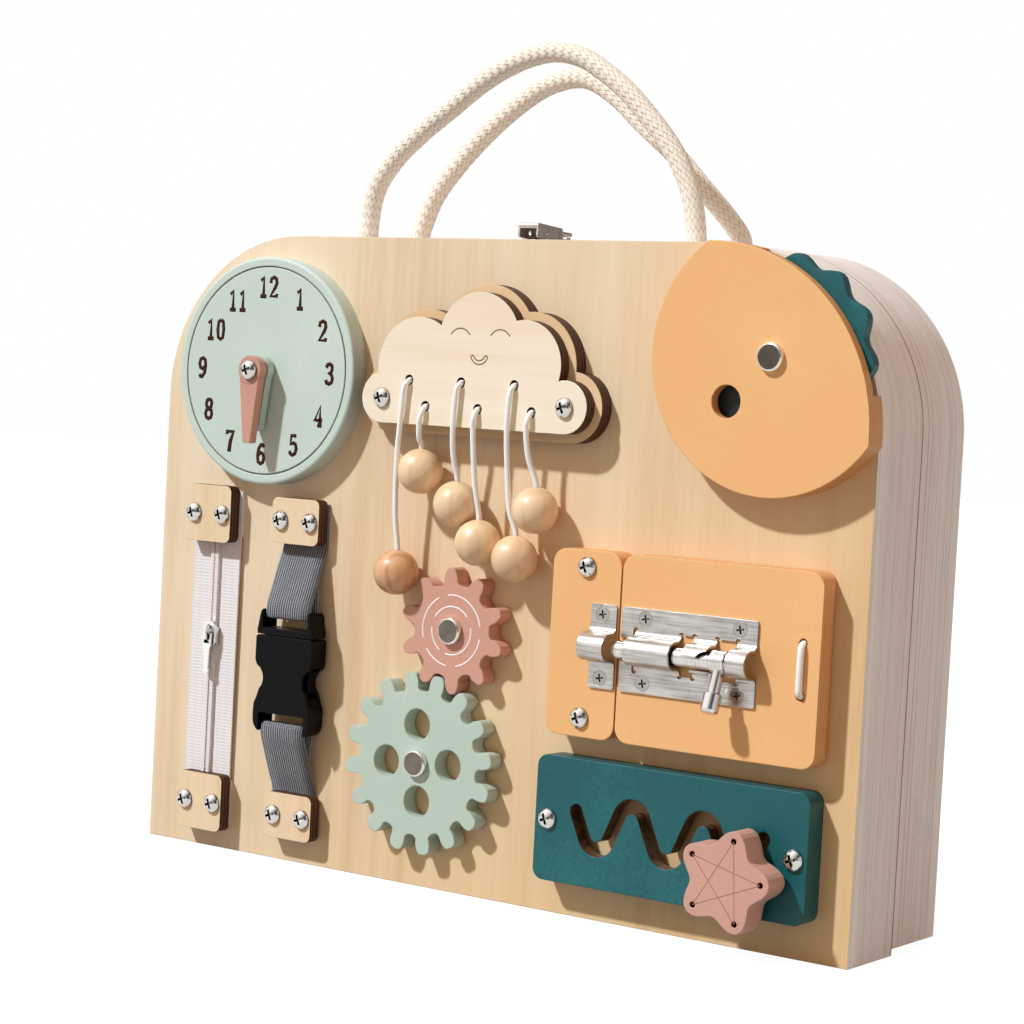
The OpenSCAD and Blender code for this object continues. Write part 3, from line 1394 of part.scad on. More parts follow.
// One sprung prong: a slim arm with a shoulder that shows in the window.
module prong(s) {
    color(black) translate([strap_x + s * prong_x, 0, 0]) difference() {
        union() {
            raised(prong_h, prong_t) polygon([for (p = [[-0.9, prong_root], [0.9, prong_root], [0.8,
                window_z[1] - 0.6],
                [1.9, window_z[1] - 1], [1.9, prong_tip + 2], [0.4, prong_tip], [-1.6, prong_tip], [-1.6,
                    prong_tip + 6],
                [-0.9, window_z[1] - 2]]) [s * p[0], p[1]]]);
            peg([0, prong_root], 1.8, prong_h, prong_h + prong_t);
        }
        peg([0, prong_root], prong_pivot_r + fit, prong_h - 1, prong_h + prong_t + 1);
    }
}

module buckle_prong_left() { prong(-1); }

module buckle_prong_right() { prong(1); }

// --- assembly ----------------------------------------------------------------------

front_panel();
front_frame();
rear_frame();
rear_panel();
hinge_leaves_front();
hinge_leaves_rear();
hinge_pins();
shell_screws_front();
shell_screws_rear();
latch_catch();
latch_base();
latch_lever();
latch_loop();
rope_front();
rope_rear();
clock_dial();
hour_hand();
minute_hand();
clock_axle();
cloud_back();
cloud_front();
string_left();
string_middle();
string_right();
ball_1();
ball_2();
ball_3();
ball_4();
ball_5();
ball_6();
wheel_spacer();
scalloped_wheel();
wheel_cover();
axle_rivets();
small_gear();
large_gear();
door_block();
door_panel();
bolt_keeper();
bolt_plate();
bolt_rod();
bolt_knob();
keeper_screws();
bolt_screws();
door_cord();
wave_plate();
star_knob();
star_screw();
board_screws();
zip_clamps();
zip_tapes();
zip_slider();
zip_pull();
strap_clamps();
strap_upper();
strap_lower();
buckle_male();
buckle_prong_left();
buckle_prong_right();
buckle_female();
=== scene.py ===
import math
import bmesh
import bpy
from mathutils import Matrix, Vector


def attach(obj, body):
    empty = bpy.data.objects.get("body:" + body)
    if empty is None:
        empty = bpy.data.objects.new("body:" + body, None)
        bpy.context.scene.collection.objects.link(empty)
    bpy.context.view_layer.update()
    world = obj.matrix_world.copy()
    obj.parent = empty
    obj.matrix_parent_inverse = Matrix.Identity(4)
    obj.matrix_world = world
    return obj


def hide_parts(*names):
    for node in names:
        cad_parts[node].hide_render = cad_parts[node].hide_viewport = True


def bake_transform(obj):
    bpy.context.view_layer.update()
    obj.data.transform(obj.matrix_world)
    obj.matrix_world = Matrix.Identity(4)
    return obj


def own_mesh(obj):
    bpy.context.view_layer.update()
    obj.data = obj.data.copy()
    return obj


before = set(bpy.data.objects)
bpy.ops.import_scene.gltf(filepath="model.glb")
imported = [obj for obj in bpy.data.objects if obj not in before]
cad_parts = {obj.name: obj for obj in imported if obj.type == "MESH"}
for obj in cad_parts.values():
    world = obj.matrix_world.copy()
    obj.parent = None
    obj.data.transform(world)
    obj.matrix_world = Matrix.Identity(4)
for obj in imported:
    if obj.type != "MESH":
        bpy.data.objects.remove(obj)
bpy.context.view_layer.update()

# --- Camera, lamps and floor -------------------------------------------------------------------
# The board stands on a plain white floor. A sun shines from the upper left in front, dim
# broad lamps reach its right side and its back, and a warm even room fills the shadows.
scene = bpy.context.scene
turn, lift, lean = math.radians(35.3436), math.radians(2.8089), math.radians(3.0702)
back = Vector((math.sin(turn) * math.cos(lift), -math.cos(turn) * math.cos(lift), math.sin(lift)))
level = (-back).cross(Vector((0, 0, 1))).normalized()
upright = level.cross(-back)
right = level * math.cos(lean) + upright * math.sin(lean)
above = upright * math.cos(lean) - level * math.sin(lean)
eye = bpy.data.objects.new("studio_camera", bpy.data.cameras.new("studio_camera"))
eye.data.lens = 91.4
eye.data.clip_start = 0.05
stand = Matrix.Translation((0.5269, -0.74209, 0.17835))
eye.matrix_world = stand @ Matrix((right, above, back)).transposed().to_4x4()
scene.collection.objects.link(eye)
scene.camera = eye
scene.view_settings.view_transform = "Standard"

LAMPS = (("window_sun", 3.97, 3, (0.79, 0.885, 0.965), (0.68, 1.0, -1.23)),
         ("side_fill", 0.45, 50, (0.89, 0.88, 1.0), (-1.0, 0.12, -0.25)),
         ("back_fill", 0.8, 40, (0.95, 0.97, 1.0), (0.12, -1.0, -0.04)))
for name, strength, spread, tint, way in LAMPS:
    lamp = bpy.data.objects.new(name, bpy.data.lights.new(name, "SUN"))
    lamp.data.energy = strength
    lamp.data.angle = math.radians(spread)
    lamp.data.color = tint
    lamp.rotation_euler = Vector(way).to_track_quat("-Z", "Y").to_euler()
    scene.collection.objects.link(lamp)

room = bpy.data.worlds.new("white_room")
scene.world = room
room.use_nodes = True
studio = room.node_tree
plain = studio.nodes["Background"]
plain.inputs["Color"].default_value = (1, 0.74, 0.5, 1)
plain.inputs["Strength"].default_value = 0.43
mirrored = studio.nodes.new("ShaderNodeBackground")
mirrored.inputs["Color"].default_value = (1, 0.99, 0.98, 1)
clear = studio.nodes.new("ShaderNodeBackground")
clear.inputs["Color"].default_value = (1, 1, 1, 1)
sky = studio.nodes.new("ShaderNodeTexCoord")
facing = studio.nodes.new("ShaderNodeVectorMath")
facing.operation = "DOT_PRODUCT"
facing.inputs[1].default_value = Vector((-0.5, -0.38, 0.78)).normalized()
studio.links.new(sky.outputs["Generated"], facing.inputs[0])
bright = studio.nodes.new("ShaderNodeMapRange")
bright.interpolation_type = "SMOOTHSTEP"
for name, value in (("From Min", 0.35), ("From Max", 0.95), ("To Min", 0.1), ("To Max", 1.6)):
    bright.inputs[name].default_value = value
studio.links.new(facing.outputs["Value"], bright.inputs["Value"])
studio.links.new(bright.outputs["Result"], mirrored.inputs["Strength"])
rays = studio.nodes.new("ShaderNodeLightPath")
joined = plain.outputs[0]
for test, other in (("Is Glossy Ray", mirrored), ("Is Camera Ray", clear)):
    either = studio.nodes.new("ShaderNodeMixShader")
    studio.links.new(rays.outputs[test], either.inputs[0])
    studio.links.new(joined, either.inputs[1])
    studio.links.new(other.outputs[0], either.inputs[2])
    joined = either.outputs[0]
studio.links.new(joined, studio.nodes["World Output"].inputs["Surface"])


class Signal:
    """A node's socket that adds Math nodes when it is used in an expression."""

    def __init__(self, finish, socket):
        self.finish, self.socket = finish, socket

    def math(self, operation, *others):
        inputs = {i: v for i, v in enumerate((self,) + others)}
        return self.finish.node("Math", {"operation": operation}, inputs)

    def __add__(self, other): return self.math("ADD", other)
    def __radd__(self, other): return self.math("ADD", other)
    def __sub__(self, other): return self.math("SUBTRACT", other)
    def __rsub__(self, other): return (self * -1.0).math("ADD", other)
    def __mul__(self, other): return self.math("MULTIPLY", other)
    def __rmul__(self, other): return self.math("MULTIPLY", other)
    def __abs__(self): return self.math("ABSOLUTE")

    def most(self, other): return self.math("MAXIMUM", other)
    def wave(self): return self.math("SINE")

    def rise(self, low, high):
        """0 below low, 1 above high, and smooth between them."""
        return self.finish.node("MapRange", {"interpolation_type": "SMOOTHSTEP"},
                                {"Value": self, "From Min": low, "From Max": high})


class Finish:
    """One procedural finish; its shader is reached through set()."""

    def __init__(self, name, **sockets):
        self.material = bpy.data.materials.new(name)
        self.material.use_nodes = True
        self.tree = self.material.node_tree
        self.shader = self.tree.nodes["Principled BSDF"]
        coords = self.tree.nodes.new("ShaderNodeTexCoord")
        self.place = Signal(self, coords.outputs["Object"])
        self.facing = Signal(self, coords.outputs["Normal"])
        self.strip = Signal(self, coords.outputs["UV"])
        self.set(**sockets)

    def put(self, socket, value):
        if isinstance(value, Signal):
            self.tree.links.new(value.socket, socket)
        elif isinstance(value, (tuple, list)) and len(value) == 3 and socket.type == "RGBA":
            socket.default_value = (*value, 1)
        else:
            socket.default_value = value

    def set(self, **sockets):
        for name, value in sockets.items():
            self.put(self.shader.inputs[name.replace("_", " ").title().replace("Ior", "IOR")], value)
        return self

    def node(self, kind, settings=None, inputs=None, output=0):
        made = self.tree.nodes.new("ShaderNode" + kind)
        for name, value in (settings or {}).items():
            if name == "stops":
                while len(made.color_ramp.elements) < len(value):
                    made.color_ramp.elements.new(0.5)
                for stop, (at, colour) in zip(made.color_ramp.elements, value):
                    stop.position = at
                    stop.color = (*colour, 1)
            else:
                setattr(made, name, value)
        for key, value in (inputs or {}).items():
            self.put(made.inputs[key], value)
        return Signal(self, made.outputs[output])

    def axes(self, source):
        """The X, Y and Z of a vector as three signals."""
        split = self.node("SeparateXYZ", None, {0: source})
        return [Signal(self, s) for s in split.socket.node.outputs]

    def noise(self, scale, detail=2.0, stretch=(1, 1, 1), rough=0.5):
        """Noise of a scale per metre, drawn out along an axis by stretch."""
        spread = self.node("Mapping", None, {"Vector": self.place, "Scale": stretch})
        return self.node("TexNoise", None, {"Vector": spread, "Scale": scale, "Detail": detail,
                                            "Roughness": rough})

    def blend(self, part, first, second, way="MIX"):
        """first where part is 0, second where it is 1."""
        return self.node("Mix", {"data_type": "RGBA", "blend_type": way},
                         {0: part, 6: first, 7: second}, 2)

    def colour(self):
        """What the finish has as its colour so far."""
        return Signal(self, self.shader.inputs["Base Color"].links[0].from_socket)

    def relief(self, height, depth, soft=0.0):
        """Bump of a depth in metres, over edges that are eased by soft metres."""
        inputs = {"Height": height, "Distance": depth, "Strength": 1.0}
        if soft:
            inputs["Normal"] = self.node("Bevel", {"samples": 4}, {"Radius": soft})
        return self.set(normal=self.node("Bump", None, inputs))


def ink(red, green, blue):
    """A colour from 0 to 255, as a screen shows it, in Blender's linear values."""
    return tuple(v / 12.92 if v < 0.04045 else ((v + 0.055) / 1.055) ** 2.4
                 for v in (red / 255, green / 255, blue / 255))


FLOOR_DROP = 0.0002                              # keeps the floor just clear of the case
floor_mesh = bmesh.new()
bmesh.ops.create_grid(floor_mesh, x_segments=1, y_segments=1, size=4)
bmesh.ops.translate(floor_mesh, verts=floor_mesh.verts, vec=(0, 0, -FLOOR_DROP))
floor = bpy.data.objects.new("studio_floor", bpy.data.meshes.new("studio_floor"))
floor_mesh.to_mesh(floor.data)
floor_mesh.free()
scene.collection.objects.link(floor)
paper = Finish("lit_white_paper", roughness=0.9, emission_strength=1.0)
seen = paper.node("LightPath", output="Is Camera Ray")
for ray in ("Is Glossy Ray", "Is Transmission Ray"):
    seen = seen.most(paper.node("LightPath", output=ray))
unseen = paper.blend(paper.noise(3.0), ink(112, 112, 112), ink(106, 106, 106))
paper.set(base_color=paper.blend(seen, ink(142, 140, 137), unseen),
          emission_color=paper.blend(seen, (0.0, 0.0, 0.0), (0.94, 0.94, 0.94)))
floor.data.materials.append(paper.material)

# --- Plywood shells ----------------------------------------------------------------------------
# Two shells of birch plywood make the case. The faces are clear-sealed veneer with a
# vertical grain; the stacked layers of the side walls are sanded and whitewashed.
FACE = -0.015                                    # depth of the front face
SEAM = 0.015                                     # depth at which the shells meet


def dress(finish, *nodes):
    """Gives solids of the frame a finish."""
    for node in nodes:
        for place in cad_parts[node].material_slots:
            place.material = finish.material


def veneer(finish, light, mid, dark, along=(1, 1, 0.05), width=75.0):
    """Straight wood grain in three tones: broad figure, narrow streaks and fine pores."""
    figure = finish.noise(width * 0.35, 3.0, along)
    streak = finish.noise(width * 2.2, 4.0, along, rough=0.62)
    pores = finish.noise(width * 14.0, 2.0, tuple(a * 0.5 if a < 0.5 else a for a in along))
    tone = finish.node("ValToRGB", {"stops": [(0.25, dark), (0.5, mid), (0.78, light)]},
                       {0: figure * 0.55 + streak * 0.45})
    rosy = finish.noise(width * 0.8, 2.0, along).rise(0.45, 0.62)
    rosy_tone = finish.blend(1.0, tone, (1.0, 0.96, 0.92), "MULTIPLY")
    tone = finish.blend(rosy * 0.3, tone, rosy_tone)
    return finish.blend(pores.rise(0.52, 0.72) * 0.16, tone, dark), streak, pores


def whitewash(finish, depth):
    """White paint rubbed into a stack of plies: uneven glue lines, and the seam with its bare lip.
    The rims, which meet when the case is shut, are left bare."""
    drift = finish.noise(9.0, 2.0)
    plies = finish.node("TexNoise", {"noise_dimensions": "1D"},
                        {"W": depth + drift * 0.0005, "Scale": 700.0, "Detail": 3.0,
                         "Roughness": 0.7})
    fine = finish.noise(1500.0, 2.0, (0.02, 1, 0.02))
    cross = finish.noise(1800.0, 2.0, (0.6, 0.12, 0.6))
    rub = finish.noise(30.0, 3.0, (1, 1, 0.2))
    seam = abs(depth - SEAM + drift * 0.0002).rise(0.0005, 0.00015)
    lip = abs(depth - (SEAM - 0.0009) + drift * 0.0002).rise(0.0006, 0.0002)
    scratches = fine.rise(0.52, 0.7) * 0.25 + cross.rise(0.5, 0.7) * 0.08
    pale = finish.blend(rub.rise(0.35, 0.7) * 0.5, ink(246, 238, 233), ink(231, 214, 205))
    pale = finish.blend(plies.rise(0.54, 0.68) * 0.5, pale, ink(184, 156, 138))
    pale = finish.blend(scratches, pale, ink(194, 172, 158))
    pale = finish.blend(lip * 0.45, pale, ink(246, 232, 206))
    pale = finish.blend(seam * 0.85, pale, ink(104, 74, 46))
    rim = abs(finish.axes(finish.facing)[1]).rise(0.8, 0.95)
    bare = finish.blend(rub, ink(236, 208, 172), ink(220, 188, 148))
    return finish.blend(rim, pale, bare), fine + plies * 0.5


board = Finish("sealed_birch_veneer", roughness=0.42, specular_ior_level=0.35)
grain, streak, pores = veneer(board, ink(243, 225, 200), ink(236, 212, 182), ink(217, 182, 143))
across, depth, height = board.axes(board.place)
drift = board.noise(7.0, 2.0, (1, 1, 0.3))
# Towards the lower right the veneer blends into a darker, more orange copy of itself.
toward_lower_right = (across * 2.0 - height * 1.6 + drift * 0.5 + 0.42).rise(0.0, 1.0)
grain = board.blend(toward_lower_right, grain, board.blend(1.0, grain, (0.89, 0.75, 0.54), "MULTIPLY"))
side = abs(board.axes(board.facing)[1]).rise(0.9, 0.5)
washed, _ = whitewash(board, depth)
board.set(base_color=board.blend(side, grain, washed))
board.relief(streak * 0.4 + pores * 0.6, 0.00006, 0.0005)
dress(board, "front_panel", "rear_panel")

shell = Finish("whitewashed_plywood_edge", roughness=0.72, specular_ior_level=0.25)
washed, fine = whitewash(shell, shell.axes(shell.place)[1])
shell.set(base_color=washed).relief(fine, 0.00012, 0.0005)
dress(shell, "front_frame", "rear_frame")

# --- Hinges, draw latch and screws -------------------------------------------------------------
# Small fittings pressed from nickel-plated steel. The screws have cross slots: the bright ones
# are round-headed, the dull ones countersunk. The latch has the soft sheen of tumbled sheet.


def open_to(finish, distance, low, high):
    """0 in recesses narrower than about a distance, 1 on open faces."""
    shade = finish.node("AmbientOcclusion", {"samples": 12}, {"Distance": distance}, "AO")
    return shade.rise(low, high)


def plated(name, low, high, rough):
    """Plated steel, scuffed a little, with shade painted dark into its recesses."""
    metal = Finish(name, metallic=1.0)
    scuff = metal.noise(260.0, 4.0)
    # Painted shade: where ambient occlusion finds a recess, the base colour goes near black.
    ao_unshaded = open_to(metal, 0.0013, 0.5, 0.92)
    metal.set(base_color=metal.blend(ao_unshaded, ink(30, 27, 25), metal.blend(scuff, low, high)))
    return metal.set(roughness=scuff * 0.1 + rough).relief(scuff, 0.00002, 0.0002)


dress(plated("bright_nickel", ink(184, 180, 175), ink(214, 211, 207), 0.08),
      "board_screws", "clock_axle", "hinge_pins", "star_screw")
dress(plated("white_nickel", ink(222, 220, 217), ink(240, 239, 237), 0.2),
      "zip_slider", "zip_pull")
dress(plated("dull_nickel", ink(146, 141, 135), ink(176, 171, 165), 0.16),
      "shell_screws_front", "shell_screws_rear", "bolt_screws", "keeper_screws")

latch = Finish("tumbled_nickel_sheet", metallic=0.85)
tumble = latch.noise(420.0, 3.0)
latch.set(base_color=latch.blend(tumble, ink(158, 148, 138), ink(204, 195, 186)),
          roughness=tumble * 0.2 + 0.26)
latch.relief(tumble, 0.00003, 0.0002)
dress(latch, "latch_catch", "latch_base", "latch_lever", "latch_loop",
      "hinge_leaves_front", "hinge_leaves_rear")

# --- Rope handles ------------------------------------------------------------------------------
# Each handle is one length of braided cotton rope that arches over the case. Its ends go
# through the top wall and are knotted inside.
ROPE_TOP = 0.228                                 # top of the case, where a rope comes out
ROPE_GAP = 0.140                                 # between the two ends of a rope
ROPE_END = 0.018                                 # length of each end inside the case
ROPE = 0.007                                     # diameter
BRAID = 290                                      # crossings of the strands in a metre
PAIRS = 12                                       # pairs of plaited strands
KNOT_R, KNOT_Z = 0.0066, 0.213                   # a knot's radius and height
# Bends: along the gap, from -1 at the left end to 1 at the right one, and millimetres up.
FRONT_ROUTE = [(-1, 0), (-0.965, 17), (-0.845, 29), (-0.67, 39), (-0.5, 47), (-0.33, 55),
               (-0.16, 61), (0, 64.5), (0.15, 65.5), (0.3, 63), (0.43, 58), (0.56, 51.5),
               (0.69, 43), (0.81, 34), (0.9, 25), (0.965, 14.5), (1, 0)]
REAR_ROUTE = [(-1, 0), (-0.91, 17), (-0.765, 29.5), (-0.59, 41), (-0.42, 50), (-0.25, 57),
              (-0.11, 60), (0, 60.5), (0.1, 58.5), (0.24, 52.5), (0.385, 44), (0.585, 33),
              (0.75, 22), (0.9, 12), (0.985, 5), (1, 0)]


def piece(name, mesh, finish, body):
    """Turns a bmesh into an object. It rides on a body, or stays unattached where body is None."""
    made = bpy.data.objects.new(name, bpy.data.meshes.new(name))
    mesh.to_mesh(made.data)
    mesh.free()
    made.data.materials.append(finish.material)
    made.data.polygons.foreach_set("use_smooth", [True] * len(made.data.polygons))
    scene.collection.objects.link(made)
    if body:
        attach(made, body)
    return made


def eased(points, step):
    """A smooth curve through the points, in steps of about one length."""
    path = []
    last = len(points) - 1
    for i in range(last):
        a, b, c, d = (Vector(points[min(max(k, 0), last)]) for k in (i - 1, i, i + 1, i + 2))
        count = max(1, round((c - b).length / step))
        for k in range(count):
            t = k / count
            path.append(0.5 * ((2 * b) + (c - a) * t + (2 * a - 5 * b + 4 * c - d) * t * t
                               + (3 * b - a - 3 * c + d) * t ** 3))
    path.append(Vector(points[-1]))
    return path


def length_of(path):
    return sum((b - a).length for a, b in zip(path, path[1:]))


def tube(name, path, radius, sides, finish, body, form=None):
    """A tube along a path. Its UV map runs round it (0 to 1) and along it in metres."""
    mesh = bmesh.new()
    chart = mesh.loops.layers.uv.new("along")
    rings, far, stations = [], 0.0, []
    aim = (path[1] - path[0]).normalized()
    out = aim.orthogonal().normalized()
    for i, point in enumerate(path):
        turned = (path[min(i + 1, len(path) - 1)] - path[max(i - 1, 0)]).normalized()
        out = (aim.rotation_difference(turned) @ out).normalized()
        aim, away = turned, turned.cross(out)
        far += (point - path[i - 1]).length if i else 0.0
        stations.append(far)
        ring = []
        for k in range(sides):
            angle = 2 * math.pi * k / sides
            swell = form(angle, far) if form else 1.0
            spoke = out * math.cos(angle) + away * math.sin(angle)
            ring.append(mesh.verts.new(point + spoke * radius * swell))
        rings.append(ring)
    for i in range(len(rings) - 1):
        for k in range(sides):
            n = (k + 1) % sides
            face = mesh.faces.new((rings[i][k], rings[i][n], rings[i + 1][n], rings[i + 1][k]))
            corners = ((k, i), (k + 1, i), (k + 1, i + 1), (k, i + 1))
            for loop, (u, v) in zip(face.loops, corners):
                loop[chart].uv = (u / sides, stations[v])
    mesh.faces.new(rings[0][::-1])
    mesh.faces.new(rings[-1])
    return piece(name, mesh, finish, body)


def braid(angle, far):
    """Plaited strands that cross over and under."""
    one, two = (math.cos(PAIRS * angle + sign * far * 2 * math.pi * BRAID) for sign in (1, -1))
    return 0.965 + 0.035 * max(one, two)


cotton = Finish("braided_cotton", roughness=0.9, sheen_weight=0.25, specular_ior_level=0.2)
around, along, _ = cotton.axes(cotton.strip)
strands, cells = [], []
for sign in (1.0, -1.0):
    turn_on = around * PAIRS + along * (sign * BRAID)
    cells.append(turn_on.math("FLOOR"))
    middle = abs(turn_on - cells[-1] - 0.5) * 2.0
    yarns = (turn_on * (2 * math.pi * 3)).wave()
    strands.append(1.0 - middle * middle + yarns * 0.22)
over = (cells[0] + cells[1]).math("PINGPONG", 1.0)
crown = strands[0] * over + strands[1] * (1.0 - over)
fibre = cotton.noise(2200.0, 3.0)
# Painted shade: the gaps between the strands are coloured peach-brown and the crowns near white, so
# the braid's shade is in the colour.
cotton.set(base_color=cotton.blend((crown + fibre * 0.5).rise(0.1, 0.85),
                                   ink(212, 168, 128), ink(254, 244, 228)))
cotton.relief(crown * 0.7 + fibre * 0.4, 0.0003)
for name, route, body, y in (("rope_front", FRONT_ROUTE, "front_half", 0.0),
                             ("rope_rear", REAR_ROUTE, "rear_half", 0.03)):
    bends = [(x * ROPE_GAP / 2, y, ROPE_TOP + z / 1000) for x, z in route]
    bends.insert(0, (-ROPE_GAP / 2, y, ROPE_TOP - ROPE_END))
    bends.append((ROPE_GAP / 2, y, ROPE_TOP - ROPE_END))
    path = eased(bends, 0.0008)
    rope = tube("handle_" + name, path, ROPE / 2, 48, cotton, body, braid)
    knots = bmesh.new()
    for end in (-1, 1):
        ball = bmesh.ops.create_icosphere(knots, subdivisions=3, radius=KNOT_R)["verts"]
        bmesh.ops.translate(knots, verts=ball, vec=(end * ROPE_GAP / 2, y, KNOT_Z))
    knot = piece("knots_" + name, knots, cotton, body)
    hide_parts(name)
    length_of(path)

# --- Clock -------------------------------------------------------------------------------------
# A turned wooden dial with a burnt ring and twelve burnt numerals, stained mint. Two
# tapered hands turn on one screw, with a washer under each.
DIAL = Vector((-0.097, FACE - 0.0075, 0.1785))
RING_R = 0.0378                                  # radius of the burnt ring
HOURS_R = 0.0304                                 # from the axle to the middle of a numeral
TALL = 0.0071                                    # a numeral's height
NARROW = 0.86                                    # a numeral's width, of its drawn width
# Strokes of each digit, in a box 0.6 wide and 1 high.
DIGITS = {
    "0": [[(0.3, 1), (0.12, 0.9), (0.06, 0.5), (0.12, 0.1), (0.3, 0), (0.48, 0.1), (0.54, 0.5),
           (0.48, 0.9), (0.3, 1)]],
    "1": [[(0.08, 0.8), (0.3, 0.98), (0.3, 0.02)], [(0.06, 0.02), (0.54, 0.02)]],
    "2": [[(0.06, 0.7), (0.1, 0.92), (0.3, 1), (0.49, 0.92), (0.53, 0.7), (0.42, 0.48),
           (0.07, 0.03), (0.55, 0.03), (0.55, 0.16)]],
    "3": [[(0.06, 0.8), (0.14, 0.96), (0.3, 1), (0.48, 0.92), (0.5, 0.72), (0.42, 0.57),
           (0.26, 0.53), (0.46, 0.47), (0.55, 0.3), (0.5, 0.08), (0.3, 0), (0.12, 0.05),
           (0.05, 0.2)]],
    "4": [[(0.42, 0.02), (0.42, 0.98), (0.03, 0.28), (0.6, 0.28)], [(0.24, 0.02), (0.58, 0.02)]],
    "5": [[(0.52, 0.98), (0.13, 0.98), (0.1, 0.55), (0.3, 0.62), (0.48, 0.54), (0.55, 0.32),
           (0.47, 0.08), (0.27, 0), (0.1, 0.06), (0.05, 0.2)]],
    "6": [[(0.52, 0.86), (0.44, 0.97), (0.3, 0.98), (0.12, 0.76), (0.06, 0.4), (0.11, 0.1),
           (0.3, 0), (0.48, 0.08), (0.55, 0.3), (0.48, 0.5), (0.3, 0.57), (0.1, 0.44)]],
    "7": [[(0.05, 0.82), (0.05, 0.97), (0.55, 0.97), (0.34, 0.5), (0.27, 0.02)],
          [(0.12, 0.02), (0.42, 0.02)]],
    "8": [[(0.3, 0.53), (0.12, 0.62), (0.09, 0.8), (0.14, 0.95), (0.3, 1), (0.46, 0.95),
           (0.51, 0.8), (0.48, 0.62), (0.3, 0.53), (0.1, 0.42), (0.05, 0.24), (0.12, 0.06),
           (0.3, 0), (0.48, 0.06), (0.55, 0.24), (0.5, 0.42), (0.3, 0.53)]],
    "9": [[(0.08, 0.14), (0.16, 0.03), (0.3, 0.02), (0.48, 0.24), (0.54, 0.6), (0.49, 0.9),
           (0.3, 1), (0.12, 0.92), (0.05, 0.7), (0.12, 0.5), (0.3, 0.43), (0.5, 0.56)]]}


def strokes(name, lines, width, finish, body, low=0.00006):
    """Round-ended strokes that stand only a hair proud of the face they are burnt or printed on."""
    pen = bpy.data.curves.new(name, "CURVE")
    pen.dimensions = "3D"
    pen.bevel_depth = width / 2
    pen.bevel_resolution = 1
    pen.use_fill_caps = True
    y = lines[0][0][1]
    for line in lines:
        spline = pen.splines.new("POLY")
        spline.points.add(len(line) - 1)
        for point, (px, _, pz) in zip(spline.points, line):
            point.co = (px, 0, pz, 1)
    drawn = bpy.data.objects.new(name + "_pen", pen)
    scene.collection.objects.link(drawn)
    bpy.context.view_layer.update()
    solid = drawn.evaluated_get(bpy.context.evaluated_depsgraph_get())
    mesh = bmesh.new()
    mesh.from_mesh(bpy.data.meshes.new_from_object(solid))
    bpy.data.objects.remove(drawn)
    bmesh.ops.scale(mesh, verts=mesh.verts, vec=(1, 2 * low / width, 1))
    bmesh.ops.translate(mesh, verts=mesh.verts, vec=(0, y, 0))
    return piece(name, mesh, finish, body)


def stained(name, colour, worn, gloss=0.5, plies=None):
    """Wood under a thin opaque stain, slightly rubbed. Plies are two colours: one for the edges,
    darker than the face partly as painted shade, and one for their glue lines."""
    finish = Finish(name, roughness=gloss, specular_ior_level=0.35)
    cloudy = finish.noise(28.0, 4.0)
    speck = finish.noise(900.0, 3.0)
    finish.set(base_color=finish.blend((cloudy * 0.6 + speck * 0.4).rise(0.42, 0.75), colour, worn))
    finish.set(roughness=speck * 0.14 + (gloss - 0.07))
    if plies:
        side = abs(finish.axes(finish.facing)[1]).rise(0.75, 0.4)
        stack = finish.axes(finish.place)[1] * (2 * math.pi / 0.0015)
        glue = (stack + cloudy * 1.5).wave().rise(0.72, 0.98)
        # Painted shade in part: every edge is blended halfway to a darker colour, standing both for
        # the stained ply edge and for the shade its sides lie in.
        edge = finish.blend(side * 0.5, finish.colour(), plies[0])
        finish.set(base_color=finish.blend(side * glue * 0.75, edge, plies[1]))
    return finish.relief(cloudy * 0.3 + speck * 0.7, 0.00004, 0.0006)


def reach(finish, centre):
    """The distance from a centre, as seen from the front."""
    x, _, z = finish.axes(finish.place)
    return ((x - centre.x) * (x - centre.x) + (z - centre.z) * (z - centre.z)).math("SQRT")


mint = stained("mint_stain", ink(184, 198, 183), ink(194, 208, 193))
dial = stained("mint_dial", ink(198, 210, 200), ink(207, 219, 208))
burn = abs(reach(dial, DIAL) - RING_R).rise(0.0003, 0.00018)
dial.set(base_color=dial.blend(burn, dial.colour(), ink(88, 84, 70)))
dress(dial, "clock_dial")
dress(mint, "hour_hand")
pink = stained("dusty_pink_stain", ink(200, 147, 127), ink(209, 157, 137))
dress(pink, "minute_hand")

burnt = Finish("burnt_wood", roughness=0.8, specular_ior_level=0.1)
burnt.set(base_color=burnt.blend(burnt.noise(1500.0), ink(46, 24, 16), ink(74, 42, 28)))
figures = []
wide = NARROW * 0.6 * TALL
for hour in range(1, 13):
    angle = math.radians(30 * hour)
    away = {10: 0.0285, 11: 0.0290}.get(hour, HOURS_R)
    for k, digit in enumerate(str(hour)):
        shift = (k - (len(str(hour)) - 1) / 2) * (wide * 1.3) - wide / 2
        x0 = DIAL.x + math.sin(angle) * away + shift
        z0 = DIAL.z + math.cos(angle) * away - TALL / 2
        figures += [[(x0 + px * NARROW * TALL, DIAL.y, z0 + pz * TALL) for px, pz in line]
                    for line in DIGITS[digit]]
strokes("clock_numerals", figures, 0.00175, burnt, "front_half")

# --- Cloud -------------------------------------------------------------------------------------
# Two layers of bare birch plywood, cut by laser, so that their edges are burnt brown. The
# front one carries two screws, six string holes and a small drawn smile.
CLOUD = FACE - 0.0106                            # depth of the cloud's face
EYE_Z, EYE_R = 0.19186, 0.00474                  # middle and radius of the eyes' arcs
MOUTH_X, MOUTH_Z, MOUTH_R = 0.0016, 0.1882, 0.0031
LIP = 0.00065                                    # half the mouth's thickness


